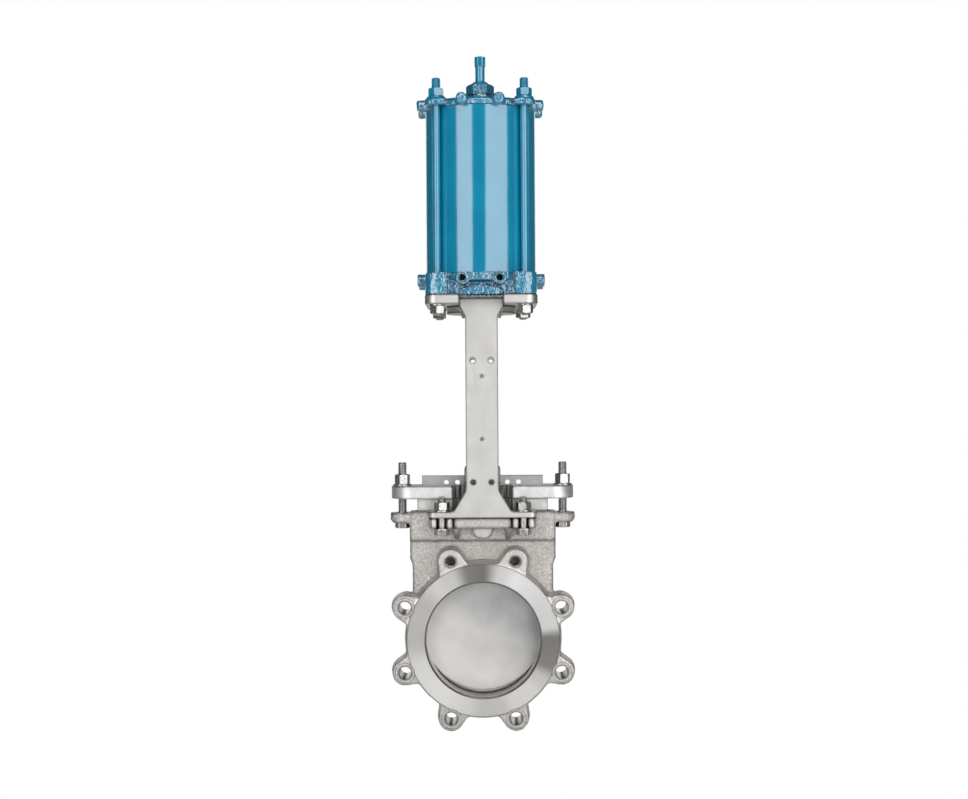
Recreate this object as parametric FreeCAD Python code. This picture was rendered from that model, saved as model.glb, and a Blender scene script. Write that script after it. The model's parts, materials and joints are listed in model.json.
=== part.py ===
import FreeCAD, Part
import math
import os

# Knife gate valve, lug body, with a double-acting air cylinder on a two-leg yoke. Millimetres.
# Origin: centre of the port, midway between the two raised faces. +Z runs up the stem, -Y is upstream.

V = FreeCAD.Vector

# Flange and port, for an 8 inch class 150 line
FACE_HALF = 34.95
RAISED_R = 134.95
LUG_FACE = 33.35
PORT_R = 100.5
REAR_PORT_R = 98.4
PORT_CHAMFER = 3.2
REAR_CHAMFER = 1.5
BOLT_CIRCLE_R = 149.225
LUG_COUNT = 8
LUG_HOLE_R = 11.1
TAPPED_R = 8.33
TAPPED_DEPTH = 26.0
REAR_TAPPED_DEPTH = 11.5
DRILL_POINT = 4.8
REAR_DRILL_POINT = 2.0
RING_R_FACE = 136.5
RING_R_MID = 139.5
LUG_R_FACE = 22.0
LUG_R_MID = 25.0
LUG_FLARE = math.radians(12.5)
LUG_FILLET = 9.0

# Gate, its slot and its seat. The stem stands in the gate's mid-plane.
STEM_Y = 12.0
GATE_T = 9.5
GATE_HALF = 108.0
GATE_TOP = 288.0
GATE_GAP = 0.2
SLOT_HALF = 109.5
GATE_BEVEL_RISE = 17.0
GATE_BEVEL_Y = 13.5
SEAT_R_IN = 102.0
SEAT_R_OUT = 107.0
SEAT_BACK = 24.0
SEAT_PROUD = 0.1

# Chest and packing box
CHEST_HALF_T = 16.0
CHEST_HALF_LOW = 125.0
CHEST_HALF_HIGH = 129.4
CHEST_STEP_Z = (130.5, 141.0)
BOX_Z = (173.0, 225.0)
BOX_HALF_T = 25.5
CAVITY_HALF = 118.0
CAVITY_HALF_T = 14.25
CAVITY_FLOOR = 182.0
PACKING_COUNT = 4
PACKING_H = 8.0
PACKING_CLEAR = 0.15

# Bolt ears at the packing box, and the gland over it
EAR_Z = (204.5, 222.5)
EAR_X = 143.0
EAR_R = 21.5
GLAND_Z = (248.0, 270.5)
GLAND_HALF_L = 162.0
GLAND_HALF_T = 38.0
GLAND_NOTCH_HALF = 53.0
GLAND_NOTCH_T = 16.0
NOSE_HALF = 116.0
NOSE_HALF_T = 14.0
GLAND_BOLT_R = 7.94
GLAND_BOLT_END = 311.5
LARGE_NUT_AF = 23.8
LARGE_NUT_H = 13.9
GLAND_NUT_H = 17.5
LARGE_WASHER_R = 16.6
LARGE_WASHER_T = 2.6
NARROW_WASHER_R = 13.8

# Yoke ledges, feet and legs: distances are from the stem's plane, the same to the front and to the rear
LEDGE_Z = (197.2, 216.0)
LEDGE_REACH = 60.0
LEDGE_HALF = 94.0
LEDGE_BLOCK_HALF = 49.5
SLOT_X = 71.8
SLOT_R = 8.9
YOKE_BOLT_REACH = 47.0
YOKE_BOLT_R = 7.94
YOKE_BOLT_END = 251.0
YOKE_HEAD_H = 9.8
YOKE_WASHER_R = 14.9
FOOT_Z = (216.0, 226.6)
FOOT_HALF = 95.0
FOOT_REACH = (26.0, 62.0)
LEG_REACH = (50.0, 62.0)
LEG_HALF = 28.5
LEG_HEAD_HALF = 38.3
LEG_TOP = 600.2
LEG_HOLE_R = 4.5
LEG_HOLE_X = 16.0
LEG_HOLE_Z = (278.6, 491.8)
LEG_PIN_R = 2.5
LEG_PIN_Z = (354.2, 464.3)
TOP_PLATE_Z = (589.0, 605.0)
TOP_PLATE_HALF = 98.0
TOP_PLATE_CORNER = 20.0

# Cylinder
HEAD_HALF = 97.0
HEAD_CORNER = 20.0
LOW_HEAD_TOP = 643.5
HIGH_HEAD_Z = (933.0, 950.0)
TUBE_R_OUT = 98.45
TUBE_R_IN = 92.1
SPIGOT_R = 92.0
SPIGOT_L = 11.5
PILOT_R = 32.0
ROD_BORE_R = 18.0
TIE_X = 76.5
TIE_R = 7.94
TIE_Z = (569.5, 981.7)
BOSS_X = 32.0
BOSS_R = 11.5
DOMED_BOSS_R = 10.4
BOSS_REACH = 112.0
LOW_BOSS_Z = 633.0
HIGH_BOSS_Z = 941.5
AIR_PORT_R = 5.56
AIR_PORT_DEPTH = 16.0
AIR_WAY_R = 4.0
HUB_R = 22.4
HUB_TOP = 965.5
ROUND_R = 100.5
RECESS_HALF = 59.0
RECESS_DEPTH = 22.0
PAD_HALF = 38.3
PAD_LOW = 600.4
O_RING_W = 3.0
O_RING_DEPTH = 2.8

# Stem, clevis and piston
STEM_R = 12.5
STEM_FIT = 0.06
STEM_LOW = 290.5
CLEVIS_HALF = 32.0
CLEVIS_HALF_T = 18.0
CLEVIS_Z = (273.0, 307.0)
CLEVIS_BOLT_X = 18.0
CLEVIS_BOLT_Z = 280.5
CLEVIS_BOLT_R = 4.98
CLEVIS_HOLE_R = 5.05
PISTON_Z = (659.0, 701.0)
PISTON_R = 91.6
PISTON_RUN_R = 92.05
PISTON_BORE_R = 10.0
PISTON_RECESS_R = 24.0
PISTON_RECESS_Z = 681.0
RETAINER_Z = (575.5, 589.0)
RETAINER_R = 62.0
RETAINER_FLAT = 49.5
SCREW_R = 3.97
SCREW_PITCH = 29.0

# Travel stop on the top head
STOP_R = 8.5
STOP_FIT = 0.05
STROKE = 216.0
STOP_SPARE = 26.0
STOP_TOP = 1034.4
STOP_HEAD_Z = 1018.0
STOP_HEAD_R = 10.25
STOP_GLAND_AF = 43.5
STOP_GLAND_R = 16.0
STOP_SEAL_Z = (945.2, 949.8)
STOP_GLAND_Z = (950.0, 965.5, 984.0, 990.5)


def box(x0, x1, y0, y1, z0, z1):
    return Part.makeBox(x1 - x0, y1 - y0, z1 - z0, V(x0, y0, z0))


def slab(half_x, half_y, z0, z1, y=STEM_Y):
    """A block centred on the stem's axis in X, and on y in Y."""
    return box(-half_x, half_x, y - half_y, y + half_y, z0, z1)


def rod_z(r, z0, z1, x=0.0, y=STEM_Y):
    return Part.makeCylinder(r, z1 - z0, V(x, y, z0))


def rod_y(r, y0, y1, x=0.0, z=0.0):
    return Part.makeCylinder(r, y1 - y0, V(x, y0, z), V(0, 1, 0))


def rod_x(r, x0, x1, y, z):
    return Part.makeCylinder(r, x1 - x0, V(x0, y, z), V(1, 0, 0))


def sleeve_z(r_out, r_in, z0, z1, x=0.0, y=STEM_Y):
    return rod_z(r_out, z0, z1, x, y).cut(rod_z(r_in, z0 - 1, z1 + 1, x, y))


def turned(profile, x=0.0, y=STEM_Y):
    """A solid of revolution about the vertical axis at x, y, from (radius, height) points."""
    points = [V(x + r, y, z) for r, z in profile]
    face = Part.Face(Part.makePolygon(points + points[:1]))
    return face.revolve(V(x, y, 0), V(0, 0, 1), 360)


def rounded_wire(corners, place):
    """A closed wire through (u, v, radius) corners, each rounded by a tangent arc. place maps u, v to space."""
    edges = []
    joints = []
    count = len(corners)
    for i in range(count):
        u, v, r = corners[i]
        here = V(u, v, 0)
        before = V(corners[i - 1][0], corners[i - 1][1], 0)
        after = V(corners[(i + 1) % count][0], corners[(i + 1) % count][1], 0)
        to_before = (before - here).normalize()
        to_after = (after - here).normalize()
        if r <= 0:
            joints.append((here, here, here))
            continue
        half = to_before.getAngle(to_after) / 2
        run = r / math.tan(half)
        bisector = (to_before + to_after).normalize()
        middle = here + bisector * (r / math.sin(half) - r)
        joints.append((here + to_before * run, middle, here + to_after * run))
    for i in range(count):
        start, middle, end = joints[i]
        if start.distanceToPoint(end) > 1e-6:
            edges.append(Part.Arc(place(start), place(middle), place(end)).toShape())
        following = joints[(i + 1) % count][0]
        if end.distanceToPoint(following) > 1e-6:
            edges.append(Part.makeLine(place(end), place(following)))
    return Part.Wire(edges)


def plan_prism(corners, z0, z1):
    """A prism whose outline lies in the XY plane."""
    wire = rounded_wire(corners, lambda p: V(p.x, p.y, z0))
    return Part.Face(wire).extrude(V(0, 0, z1 - z0))


def front_prism(corners, y0, y1):
    """A prism whose outline lies in the XZ plane."""
    wire = rounded_wire(corners, lambda p: V(p.x, y0, p.y))
    return Part.Face(wire).extrude(V(0, y1 - y0, 0))


def side_prism(corners, x0, x1):
    """A prism whose outline lies in the YZ plane."""
    wire = rounded_wire(corners, lambda p: V(x0, p.x, p.y))
    return Part.Face(wire).extrude(V(x1 - x0, 0, 0))


def rounded_slab(half_x, half_y, corner, z0, z1, y=STEM_Y):
    corners = [(-half_x, y - half_y, corner), (half_x, y - half_y, corner)]
    corners += [(half_x, y + half_y, corner), (-half_x, y + half_y, corner)]
    return plan_prism(corners, z0, z1)


def mirrored_y(shape):
    """The same shape on the other side of the stem's plane."""
    return shape.mirror(V(0, STEM_Y, 0), V(0, 1, 0))


def mirrored_x(shape):
    return shape.mirror(V(0, 0, 0), V(1, 0, 0))


def four_ways(shape):
    """The shape turned by quarter turns about the stem's axis."""
    copies = []
    for quarter in range(4):
        copy = shape.copy()
        copy.rotate(V(0, STEM_Y, 0), V(0, 0, 1), 90 * quarter)
        copies.append(copy)
    return copies


def hexagon(flats, z0, z1, x, y, turn):
    radius = flats / math.sqrt(3)
    points = []
    for corner in range(7):
        angle = math.radians(turn + 60 * corner)
        points.append(V(x + radius * math.cos(angle), y + radius * math.sin(angle), z0))
    return Part.Face(Part.makePolygon(points)).extrude(V(0, 0, z1 - z0))


def hex_block(flats, z0, z1, x, y, turn=0.0, low_edge=True, high_edge=True):
    """A hexagonal block with its corners turned off at the chosen ends."""
    inner = flats / 2 * 0.96
    outer = flats / math.sqrt(3) + 0.01
    rise = (outer - inner) * math.tan(math.radians(30))
    profile = [(0, z0), (inner if low_edge else outer, z0)]
    if low_edge:
        profile.append((outer, z0 + rise))
    if high_edge:
        profile.append((outer, z1 - rise))
    profile += [(inner if high_edge else outer, z1), (0, z1)]
    return hexagon(flats, z0, z1, x, y, turn).common(turned(profile, x, y))


def nut(flats, z0, z1, bore, x, y, turn=0.0):
    return hex_block(flats, z0, z1, x, y, turn).cut(rod_z(bore, z0 - 1, z1 + 1, x, y))


def washer(r, bore, z0, thickness, x, y):
    return sleeve_z(r, bore, z0, z0 + thickness, x, y)


def threaded_rod(r, z0, z1, x, y, end_chamfer=1.2):
    profile = [(0, z0), (r - end_chamfer, z0), (r, z0 + end_chamfer)]
    profile += [(r, z1 - end_chamfer), (r - end_chamfer, z1), (0, z1)]
    return turned(profile, x, y)


def fused(shapes):
    """One clean solid from several that touch."""
    whole = shapes[0].multiFuse(shapes[1:])
    return whole.removeSplitter()


def edges_along_z(shape, low, high):
    """Straight vertical edges whose middle lies in the box from low to high."""
    found = []
    for edge in shape.Edges:
        start = edge.Vertexes[0].Point
        end = edge.Vertexes[-1].Point
        upright = abs(start.x - end.x) < 1e-6 and abs(start.y - end.y) < 1e-6 and start != end
        middle = (start + end) * 0.5
        inside = low[0] <= middle.x <= high[0] and low[1] <= middle.y <= high[1]
        if upright and inside and low[2] <= middle.z <= high[2]:
            found.append(edge)
    return found


# ---- body casting ----


def flange_outline(y, ring_r, lug_r):
    """The ring with its eight lugs, as one wire in a plane of constant y."""
    edges = []
    ends = []
    for k in range(LUG_COUNT):
        angle = 2 * math.pi * (k + 0.5) / LUG_COUNT
        radial = V(math.cos(angle), 0, math.sin(angle))
        across = V(-math.sin(angle), 0, math.cos(angle))
        centre = radial * BOLT_CIRCLE_R
        sides = []
        for side in (-1, 1):
            normal = across * (side * math.cos(LUG_FLARE)) + radial * math.sin(LUG_FLARE)
            along = radial * math.cos(LUG_FLARE) - across * (side * math.sin(LUG_FLARE))
            offset = normal.dot(centre) + lug_r
            reach = math.sqrt((ring_r + LUG_FILLET) ** 2 - (offset + LUG_FILLET) ** 2)
            pivot = normal * (offset + LUG_FILLET) + along * reach
            to_centre = V(pivot).normalize()
            on_ring = to_centre * ring_r
            on_line = pivot - normal * LUG_FILLET
            between = pivot - (normal + to_centre).normalize() * LUG_FILLET
            on_end = centre + normal * lug_r
            sides.append((on_ring, between, on_line, on_end))
        low, high = sides
        edges.append((low[0], low[1], low[2]))
        edges.append((low[2], low[3]))
        edges.append((low[3], centre + radial * lug_r, high[3]))
        edges.append((high[3], high[2]))
        edges.append((high[2], high[1], high[0]))
        ends.append((low[0], high[0]))
    wire = []
    lift = V(0, y, 0)
    for k in range(LUG_COUNT):
        for points in edges[5 * k : 5 * k + 5]:
            placed = [p + lift for p in points]
            if len(placed) == 2:
                wire.append(Part.makeLine(placed[0], placed[1]))
            else:
                wire.append(Part.Arc(placed[0], placed[1], placed[2]).toShape())
        start = ends[k][1]
        end = ends[(k + 1) % LUG_COUNT][0]
        middle = (start + end).normalize() * ring_r
        wire.append(Part.Arc(start + lift, middle + lift, end + lift).toShape())
    return Part.Wire(wire)


def lug_centres():
    centres = []
    for k in range(LUG_COUNT):
        angle = 2 * math.pi * (k + 0.5) / LUG_COUNT
        centres.append((BOLT_CIRCLE_R * math.cos(angle), BOLT_CIRCLE_R * math.sin(angle)))
    return centres


def flange_ring():
    """Ring and lugs, drafted both ways from the parting plane, with a raised face on each side."""
    middle = flange_outline(0, RING_R_MID, LUG_R_MID)
    halves = []
    for y in (-LUG_FACE, LUG_FACE):
        face = flange_outline(y, RING_R_FACE, LUG_R_FACE)
        halves.append(Part.makeLoft([middle, face], True, True))
    core = rod_y(RAISED_R, -FACE_HALF, FACE_HALF)
    return fused([core] + halves)


def chest():
    """Flat chest round the gate, a little wider near its top."""
    low_z, high_z = CHEST_STEP_Z
    right = [(CHEST_HALF_LOW, 30, 0), (CHEST_HALF_LOW, low_z, 6), (CHEST_HALF_HIGH, high_z, 6)]
    right.append((CHEST_HALF_HIGH, BOX_Z[0] + 5, 0))
    left = [(-x, z, r) for x, z, r in reversed(right)]
    panel = front_prism(right + left, STEM_Y - CHEST_HALF_T, STEM_Y + CHEST_HALF_T)
    walls = rounded_slab(CHEST_HALF_HIGH, BOX_HALF_T, 6, BOX_Z[0], BOX_Z[1])
    return [panel, walls]


def bolt_ear():
    """Right-hand ear for a gland bolt, with its lower rim tapered off."""
    plate = rod_z(EAR_R, EAR_Z[0], EAR_Z[1], EAR_X)
    plate = plate.fuse(box(CHEST_HALF_HIGH - 8, EAR_X, STEM_Y - EAR_R, STEM_Y + EAR_R, *EAR_Z))
    taper = 7.0
    slope = [(CHEST_HALF_HIGH - 8, EAR_Z[0] - 1, 0), (EAR_X + EAR_R - taper, EAR_Z[0] - 1, 0)]
    slope += [(EAR_X + EAR_R + 1, EAR_Z[0] + taper, 0), (EAR_X + EAR_R + 1, EAR_Z[1] + 1, 0)]
    slope.append((CHEST_HALF_HIGH - 8, EAR_Z[1] + 1, 0))
    return plate.common(front_prism(slope, STEM_Y - EAR_R - 1, STEM_Y + EAR_R + 1))


def yoke_ledge():
    """Front ledge for the yoke: slotted prongs each side of a plain block, on ribs and a round boss."""
    front = STEM_Y - LEDGE_REACH
    wall = STEM_Y - BOX_HALF_T
    corners = [(-LEDGE_HALF, front, 12), (LEDGE_HALF, front, 12), (LEDGE_HALF, wall + 5, 0)]
    corners.append((-LEDGE_HALF, wall + 5, 0))
    ledge = plan_prism(corners, *LEDGE_Z)
    slot_y = STEM_Y - YOKE_BOLT_REACH
    low, high = LEDGE_Z[0] - 1, LEDGE_Z[1] + 1
    for side in (-1, 1):
        x = side * SLOT_X
        slot = box(x - SLOT_R, x + SLOT_R, front - 1, slot_y, low, high)
        ledge = ledge.cut(slot.fuse(rod_z(SLOT_R, low, high, x, slot_y)))
        edge = side * LEDGE_BLOCK_HALF
        groove = box(min(edge, edge + side * 3), max(edge, edge + side * 3), front - 1, front + 7, low, high)
        ledge = ledge.cut(groove)
    prong_edges = edges_along_z(ledge, (-82, front - 1, 0), (82, front + 1, 999))
    prong_edges = [e for e in prong_edges if abs(e.Vertexes[0].Point.x) > LEDGE_BLOCK_HALF + 1]
    ledge = ledge.makeFillet(4.0, prong_edges)
    shelf = LEDGE_Z[0]
    foot = BOX_Z[0] + 1
    brace = side_prism([(wall + 5, foot, 0), (wall + 5, shelf + 4, 0), (front + 6, shelf + 4, 0),
                        (front + 6, shelf, 0), (wall, foot, 0)], -60, 60)
    shapes = [ledge]
    for side in (-1, 1):
        rib = [(side * 40, shelf + 4, 0), (side * 54, shelf + 4, 0), (side * 47, foot, 0), (side * 42, foot, 0)]
        shapes.append(front_prism(rib, front, wall + 5).common(brace))
    boss = [(-16.8, shelf + 4, 0), (16.8, shelf + 4, 0), (16.8, foot + 4, 14), (-16.8, foot + 4, 14)]
    shapes.append(front_prism(boss, front + 18, wall + 5))
    return shapes


def gate_space():
    """Slot for the gate with its round end, open at the top into the packing cavity."""
    y0 = STEM_Y - GATE_T / 2 - GATE_GAP
    y1 = STEM_Y + GATE_T / 2 + GATE_GAP
    upper = box(-SLOT_HALF, SLOT_HALF, y0, y1, 0, CAVITY_FLOOR + 1)
    lower = rod_y(SLOT_HALF, y0, y1)
    cavity = rounded_slab(CAVITY_HALF, CAVITY_HALF_T, 4, CAVITY_FLOOR, BOX_Z[1] + 1)
    return [upper, lower, cavity]


def port_space():
    """Upstream port to the gate, seat pocket and downstream port."""
    gate_back = STEM_Y + GATE_T / 2
    end = FACE_HALF + 1
    front = rod_y(PORT_R, -end, gate_back)
    mouth = Part.makeCone(PORT_R + PORT_CHAMFER, PORT_R, PORT_CHAMFER, V(0, -FACE_HALF, 0), V(0, 1, 0))
    pocket = rod_y(SEAT_R_OUT, gate_back, SEAT_BACK)
    rear = rod_y(REAR_PORT_R, gate_back, end)
    far_mouth = Part.makeCone(REAR_PORT_R + REAR_CHAMFER, REAR_PORT_R, REAR_CHAMFER,
                              V(0, FACE_HALF, 0), V(0, -1, 0))
    return [front, mouth, pocket, rear, far_mouth]


def lug_holes():
    """Six through holes, and blind tapped holes from both sides in the two lugs under the chest.

    Those from the rear stay short, as the wall behind the gate's slot is thin.
    """
    holes = []
    for x, z in lug_centres():
        tapped = z > 0 and abs(x) < BOLT_CIRCLE_R / 2
        if not tapped:
            holes.append(rod_y(LUG_HOLE_R, -FACE_HALF, FACE_HALF, x, z))
            continue
        for side, depth, point in ((-1, TAPPED_DEPTH, DRILL_POINT), (1, REAR_TAPPED_DEPTH, REAR_DRILL_POINT)):
            mouth = side * LUG_FACE
            inwards = V(0, -side, 0)
            holes.append(Part.makeCylinder(TAPPED_R, depth, V(x, mouth, z), inwards))
            holes.append(Part.makeCone(TAPPED_R + 2, TAPPED_R, 2, V(x, mouth, z), inwards))
            holes.append(Part.makeCone(TAPPED_R, 0.5, point, V(x, mouth - side * depth, z), inwards))
    return holes


def body_casting():
    ledge = yoke_ledge()
    solids = [flange_ring()] + chest() + [bolt_ear(), mirrored_x(bolt_ear())]
    solids += ledge + [mirrored_y(s) for s in ledge]
    body = fused(solids)
    tools = gate_space() + port_space() + lug_holes()
    tools += [rod_z(GLAND_BOLT_R + 0.5, EAR_Z[0] - 1, EAR_Z[1] + 1, side * EAR_X) for side in (-1, 1)]
    body = body.cut(tools)
    return body.removeSplitter()


# ---- seat, gate, packing and gland ----


def seat_ring():
    face = STEM_Y + GATE_T / 2 + SEAT_PROUD
    return rod_y(SEAT_R_OUT, face, SEAT_BACK).cut(rod_y(SEAT_R_IN, face - 1, SEAT_BACK + 1))


def seat_retainer():
    face = STEM_Y + GATE_T / 2 + GATE_GAP
    inner = REAR_PORT_R + 0.4
    return rod_y(SEAT_R_IN, face, SEAT_BACK).cut(rod_y(inner, face - 1, SEAT_BACK + 1))


def gate():
    """Plate with a round lower end, bevelled on its upstream face, and four holes near the top."""
    y0 = STEM_Y - GATE_T / 2
    y1 = STEM_Y + GATE_T / 2
    plate = box(-GATE_HALF, GATE_HALF, y0, y1, 0, GATE_TOP)
    back = rod_y(GATE_HALF, GATE_BEVEL_Y, y1)
    bevel_r = math.hypot(GATE_HALF, GATE_BEVEL_RISE)
    rims = []
    for radius, y, z in ((bevel_r, y0, GATE_BEVEL_RISE), (GATE_HALF, GATE_BEVEL_Y, 0)):
        rims.append(Part.Wire(Part.makeCircle(radius, V(0, y, z), V(0, 1, 0))))
    bevel = Part.makeLoft(rims, True, True)
    bevel = bevel.common(box(-GATE_HALF, GATE_HALF, y0, y1, -GATE_HALF - 1, 40))
    blade = fused([plate, back, bevel])
    for x in (44.6, 64.3):
        for side in (-1, 1):
            blade = blade.cut(rod_y(4.25, y0 - 1, y1 + 1, side * x, 275.8))
    for side in (-1, 1):
        blade = blade.cut(rod_y(CLEVIS_HOLE_R, y0 - 1, y1 + 1, side * CLEVIS_BOLT_X, CLEVIS_BOLT_Z))
    top_edges = [e for e in blade.Edges if e.BoundBox.ZMin > GATE_TOP - 0.01 and e.BoundBox.XLength > 100]
    return blade.makeChamfer(0.8, top_edges)


def packing_ring(index):
    z0 = CAVITY_FLOOR + index * PACKING_H
    ring = rounded_slab(CAVITY_HALF - 0.2, CAVITY_HALF_T - PACKING_CLEAR, 4, z0, z0 + PACKING_H)
    return ring.cut(slab(GATE_HALF + PACKING_CLEAR, GATE_T / 2 + PACKING_CLEAR, z0 - 1, z0 + PACKING_H + 1))


def packing_gland():
    """Round-ended flange, necked in behind the yoke's legs, over a nose that enters the packing box."""
    end_x = GLAND_HALF_L - GLAND_HALF_T
    flange = slab(end_x, GLAND_HALF_T, *GLAND_Z)
    for side in (-1, 1):
        flange = flange.fuse(rod_z(GLAND_HALF_T, *GLAND_Z, side * end_x))
    flange = flange.removeSplitter()
    for side in (-1, 1):
        low, high = sorted((side * GLAND_NOTCH_T, side * (GLAND_HALF_T + 1)))
        notch = box(-GLAND_NOTCH_HALF, GLAND_NOTCH_HALF, STEM_Y + low, STEM_Y + high,
                    GLAND_Z[0] - 1, GLAND_Z[1] + 1)
        flange = flange.cut(notch)
    rims = [e for e in flange.Edges if e.BoundBox.ZLength < 0.01]
    flange = flange.makeChamfer(1.2, rims)
    nose_low = CAVITY_FLOOR + PACKING_COUNT * PACKING_H
    nose = rounded_slab(NOSE_HALF, NOSE_HALF_T, 3, nose_low, GLAND_Z[0] + 1)
    gland = flange.fuse(nose).removeSplitter()
    gland = gland.cut(slab(GATE_HALF + 0.4, GATE_T / 2 + 0.25, nose_low - 1, GLAND_Z[1] + 1))
    for side in (-1, 1):
        gland = gland.cut(rod_z(GLAND_BOLT_R + 0.5, GLAND_Z[0] - 1, GLAND_Z[1] + 1, side * EAR_X))
    return gland


def at_ears(make):
    return Part.makeCompound([make(side * EAR_X) for side in (-1, 1)])


def gland_bolt(x):
    head = hex_block(LARGE_NUT_AF, EAR_Z[0] - 9.8, EAR_Z[0], x, STEM_Y, 30, True, False)
    return head.fuse(threaded_rod(GLAND_BOLT_R, EAR_Z[0] - 5, GLAND_BOLT_END, x, STEM_Y))


def gland_washer(x):
    return washer(LARGE_WASHER_R, GLAND_BOLT_R + 0.06, GLAND_Z[1], LARGE_WASHER_T, x, STEM_Y)


def gland_nut(x):
    z0 = GLAND_Z[1] + LARGE_WASHER_T
    return nut(LARGE_NUT_AF, z0, z0 + GLAND_NUT_H, GLAND_BOLT_R + 0.06, x, STEM_Y, 12)


# ---- yoke ----


def yoke_leg():
    """Front leg: a flat upright with a flared lower end and a wide head, welded to a foot plate."""
    near, far = STEM_Y - LEG_REACH[1], STEM_Y - LEG_REACH[0]
    right = [(54.5, FOOT_Z[1] - 1, 0), (54.5, FOOT_Z[1], 0), (50.0, FOOT_Z[1] + 1.6, 5), (LEG_HALF, 264, 16)]
    right += [(LEG_HALF, 569, 10), (LEG_HEAD_HALF, 587, 4), (LEG_HEAD_HALF, LEG_TOP, 0)]
    left = [(-x, z, r) for x, z, r in reversed(right)]
    upright = front_prism(right + left, near, far)
    corners = [(-FOOT_HALF, near, 11), (FOOT_HALF, near, 11), (FOOT_HALF, STEM_Y - FOOT_REACH[0], 2)]
    corners.append((-FOOT_HALF, STEM_Y - FOOT_REACH[0], 2))
    leg = upright.fuse(plan_prism(corners, *FOOT_Z)).removeSplitter()
    for side in (-1, 1):
        x = side * SLOT_X
        leg = leg.cut(rod_z(YOKE_BOLT_R + 0.5, FOOT_Z[0] - 1, FOOT_Z[1] + 1, x, STEM_Y - YOKE_BOLT_REACH))
        for z in LEG_HOLE_Z:
            leg = leg.cut(rod_y(LEG_HOLE_R, near - 1, far + 1, side * LEG_HOLE_X, z))
    for z in LEG_PIN_Z:
        leg = leg.cut(rod_y(LEG_PIN_R, near - 1, far + 1, 0, z))
    return leg


def yoke_top_plate():
    plate = rounded_slab(TOP_PLATE_HALF, TOP_PLATE_HALF, TOP_PLATE_CORNER, *TOP_PLATE_Z)
    low, high = TOP_PLATE_Z[0] - 1, TOP_PLATE_Z[1] + 1
    notch_half = LEG_HEAD_HALF + 0.2
    notch = box(-notch_half, notch_half, STEM_Y - 120, STEM_Y - LEG_REACH[0], low, high)
    plate = plate.cut([notch, mirrored_y(notch), rod_z(PILOT_R + 0.2, low, high)])
    for side in (-1, 1):
        for depth in (-1, 1):
            plate = plate.cut(rod_z(TIE_R + 0.3, low, high, side * TIE_X, STEM_Y + depth * TIE_X))
            x, y = side * SCREW_PITCH, STEM_Y + depth * SCREW_PITCH
            plate = plate.cut(rod_z(SCREW_R + 0.02, low, TOP_PLATE_Z[1] - 3, x, y))
    rims = [e for e in plate.Edges if e.BoundBox.ZLength < 0.01 and e.BoundBox.XLength > 25
            and abs(e.BoundBox.Center.y - STEM_Y) > TOP_PLATE_HALF - 1]
    return plate.makeChamfer(0.8, rims)


def at_yoke_bolts(make):
    places = [(side * SLOT_X, STEM_Y + depth * YOKE_BOLT_REACH) for side in (-1, 1) for depth in (-1, 1)]
    solids = []
    for x, y in places:
        solids += make(x, y)
    return Part.makeCompound(solids)


def yoke_bolt(x, y):
    top = LEDGE_Z[0] - LARGE_WASHER_T
    head = hex_block(LARGE_NUT_AF, top - YOKE_HEAD_H, top, x, y, 20, True, False)
    return [head.fuse(threaded_rod(YOKE_BOLT_R, top - 4, YOKE_BOLT_END, x, y))]


def yoke_nut(x, y):
    z0 = FOOT_Z[1] + LARGE_WASHER_T
    return [nut(LARGE_NUT_AF, z0, z0 + LARGE_NUT_H, YOKE_BOLT_R + 0.06, x, y, 12 if x < 0 else 50)]


def yoke_washer(x, y):
    bore = YOKE_BOLT_R + 0.06
    lower = washer(YOKE_WASHER_R, bore, LEDGE_Z[0] - LARGE_WASHER_T, LARGE_WASHER_T, x, y)
    return [lower, washer(YOKE_WASHER_R, bore, FOOT_Z[1], LARGE_WASHER_T, x, y)]


# ---- cylinder ----


def head_boss(z, dome):
    """One pair of bosses on the front side of a head. A domed one has a rounded rim."""
    root = STEM_Y - HEAD_HALF + 12
    end = STEM_Y - BOSS_REACH
    pair = []
    for side in (-1, 1):
        boss = rod_y(DOMED_BOSS_R if dome else BOSS_R, end, root, side * BOSS_X, z)
        rim = [e for e in boss.Edges if e.BoundBox.YMax < end + 0.01]
        pair.append(boss.makeFillet(5.0 if dome else 1.0, rim))
    return pair


def square_and_round(z0, z1):
    """Four corner blocks joined by a round middle, a little wider than the tube."""
    square = rounded_slab(HEAD_HALF, HEAD_HALF, HEAD_CORNER, z0, z1)
    face = STEM_Y - HEAD_HALF
    gap = box(-RECESS_HALF, RECESS_HALF, face - 1, face + RECESS_DEPTH, z0 - 1, z1 + 1)
    return square.cut(four_ways(gap)).fuse(rod_z(ROUND_R, z0, z1)).removeSplitter()


def around_tube(z0, z1):
    """Room for the tube's end, which the bosses on a head would otherwise run into."""
    return sleeve_z(TUBE_R_OUT + 0.4, SPIGOT_R, z0, z1)


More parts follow.
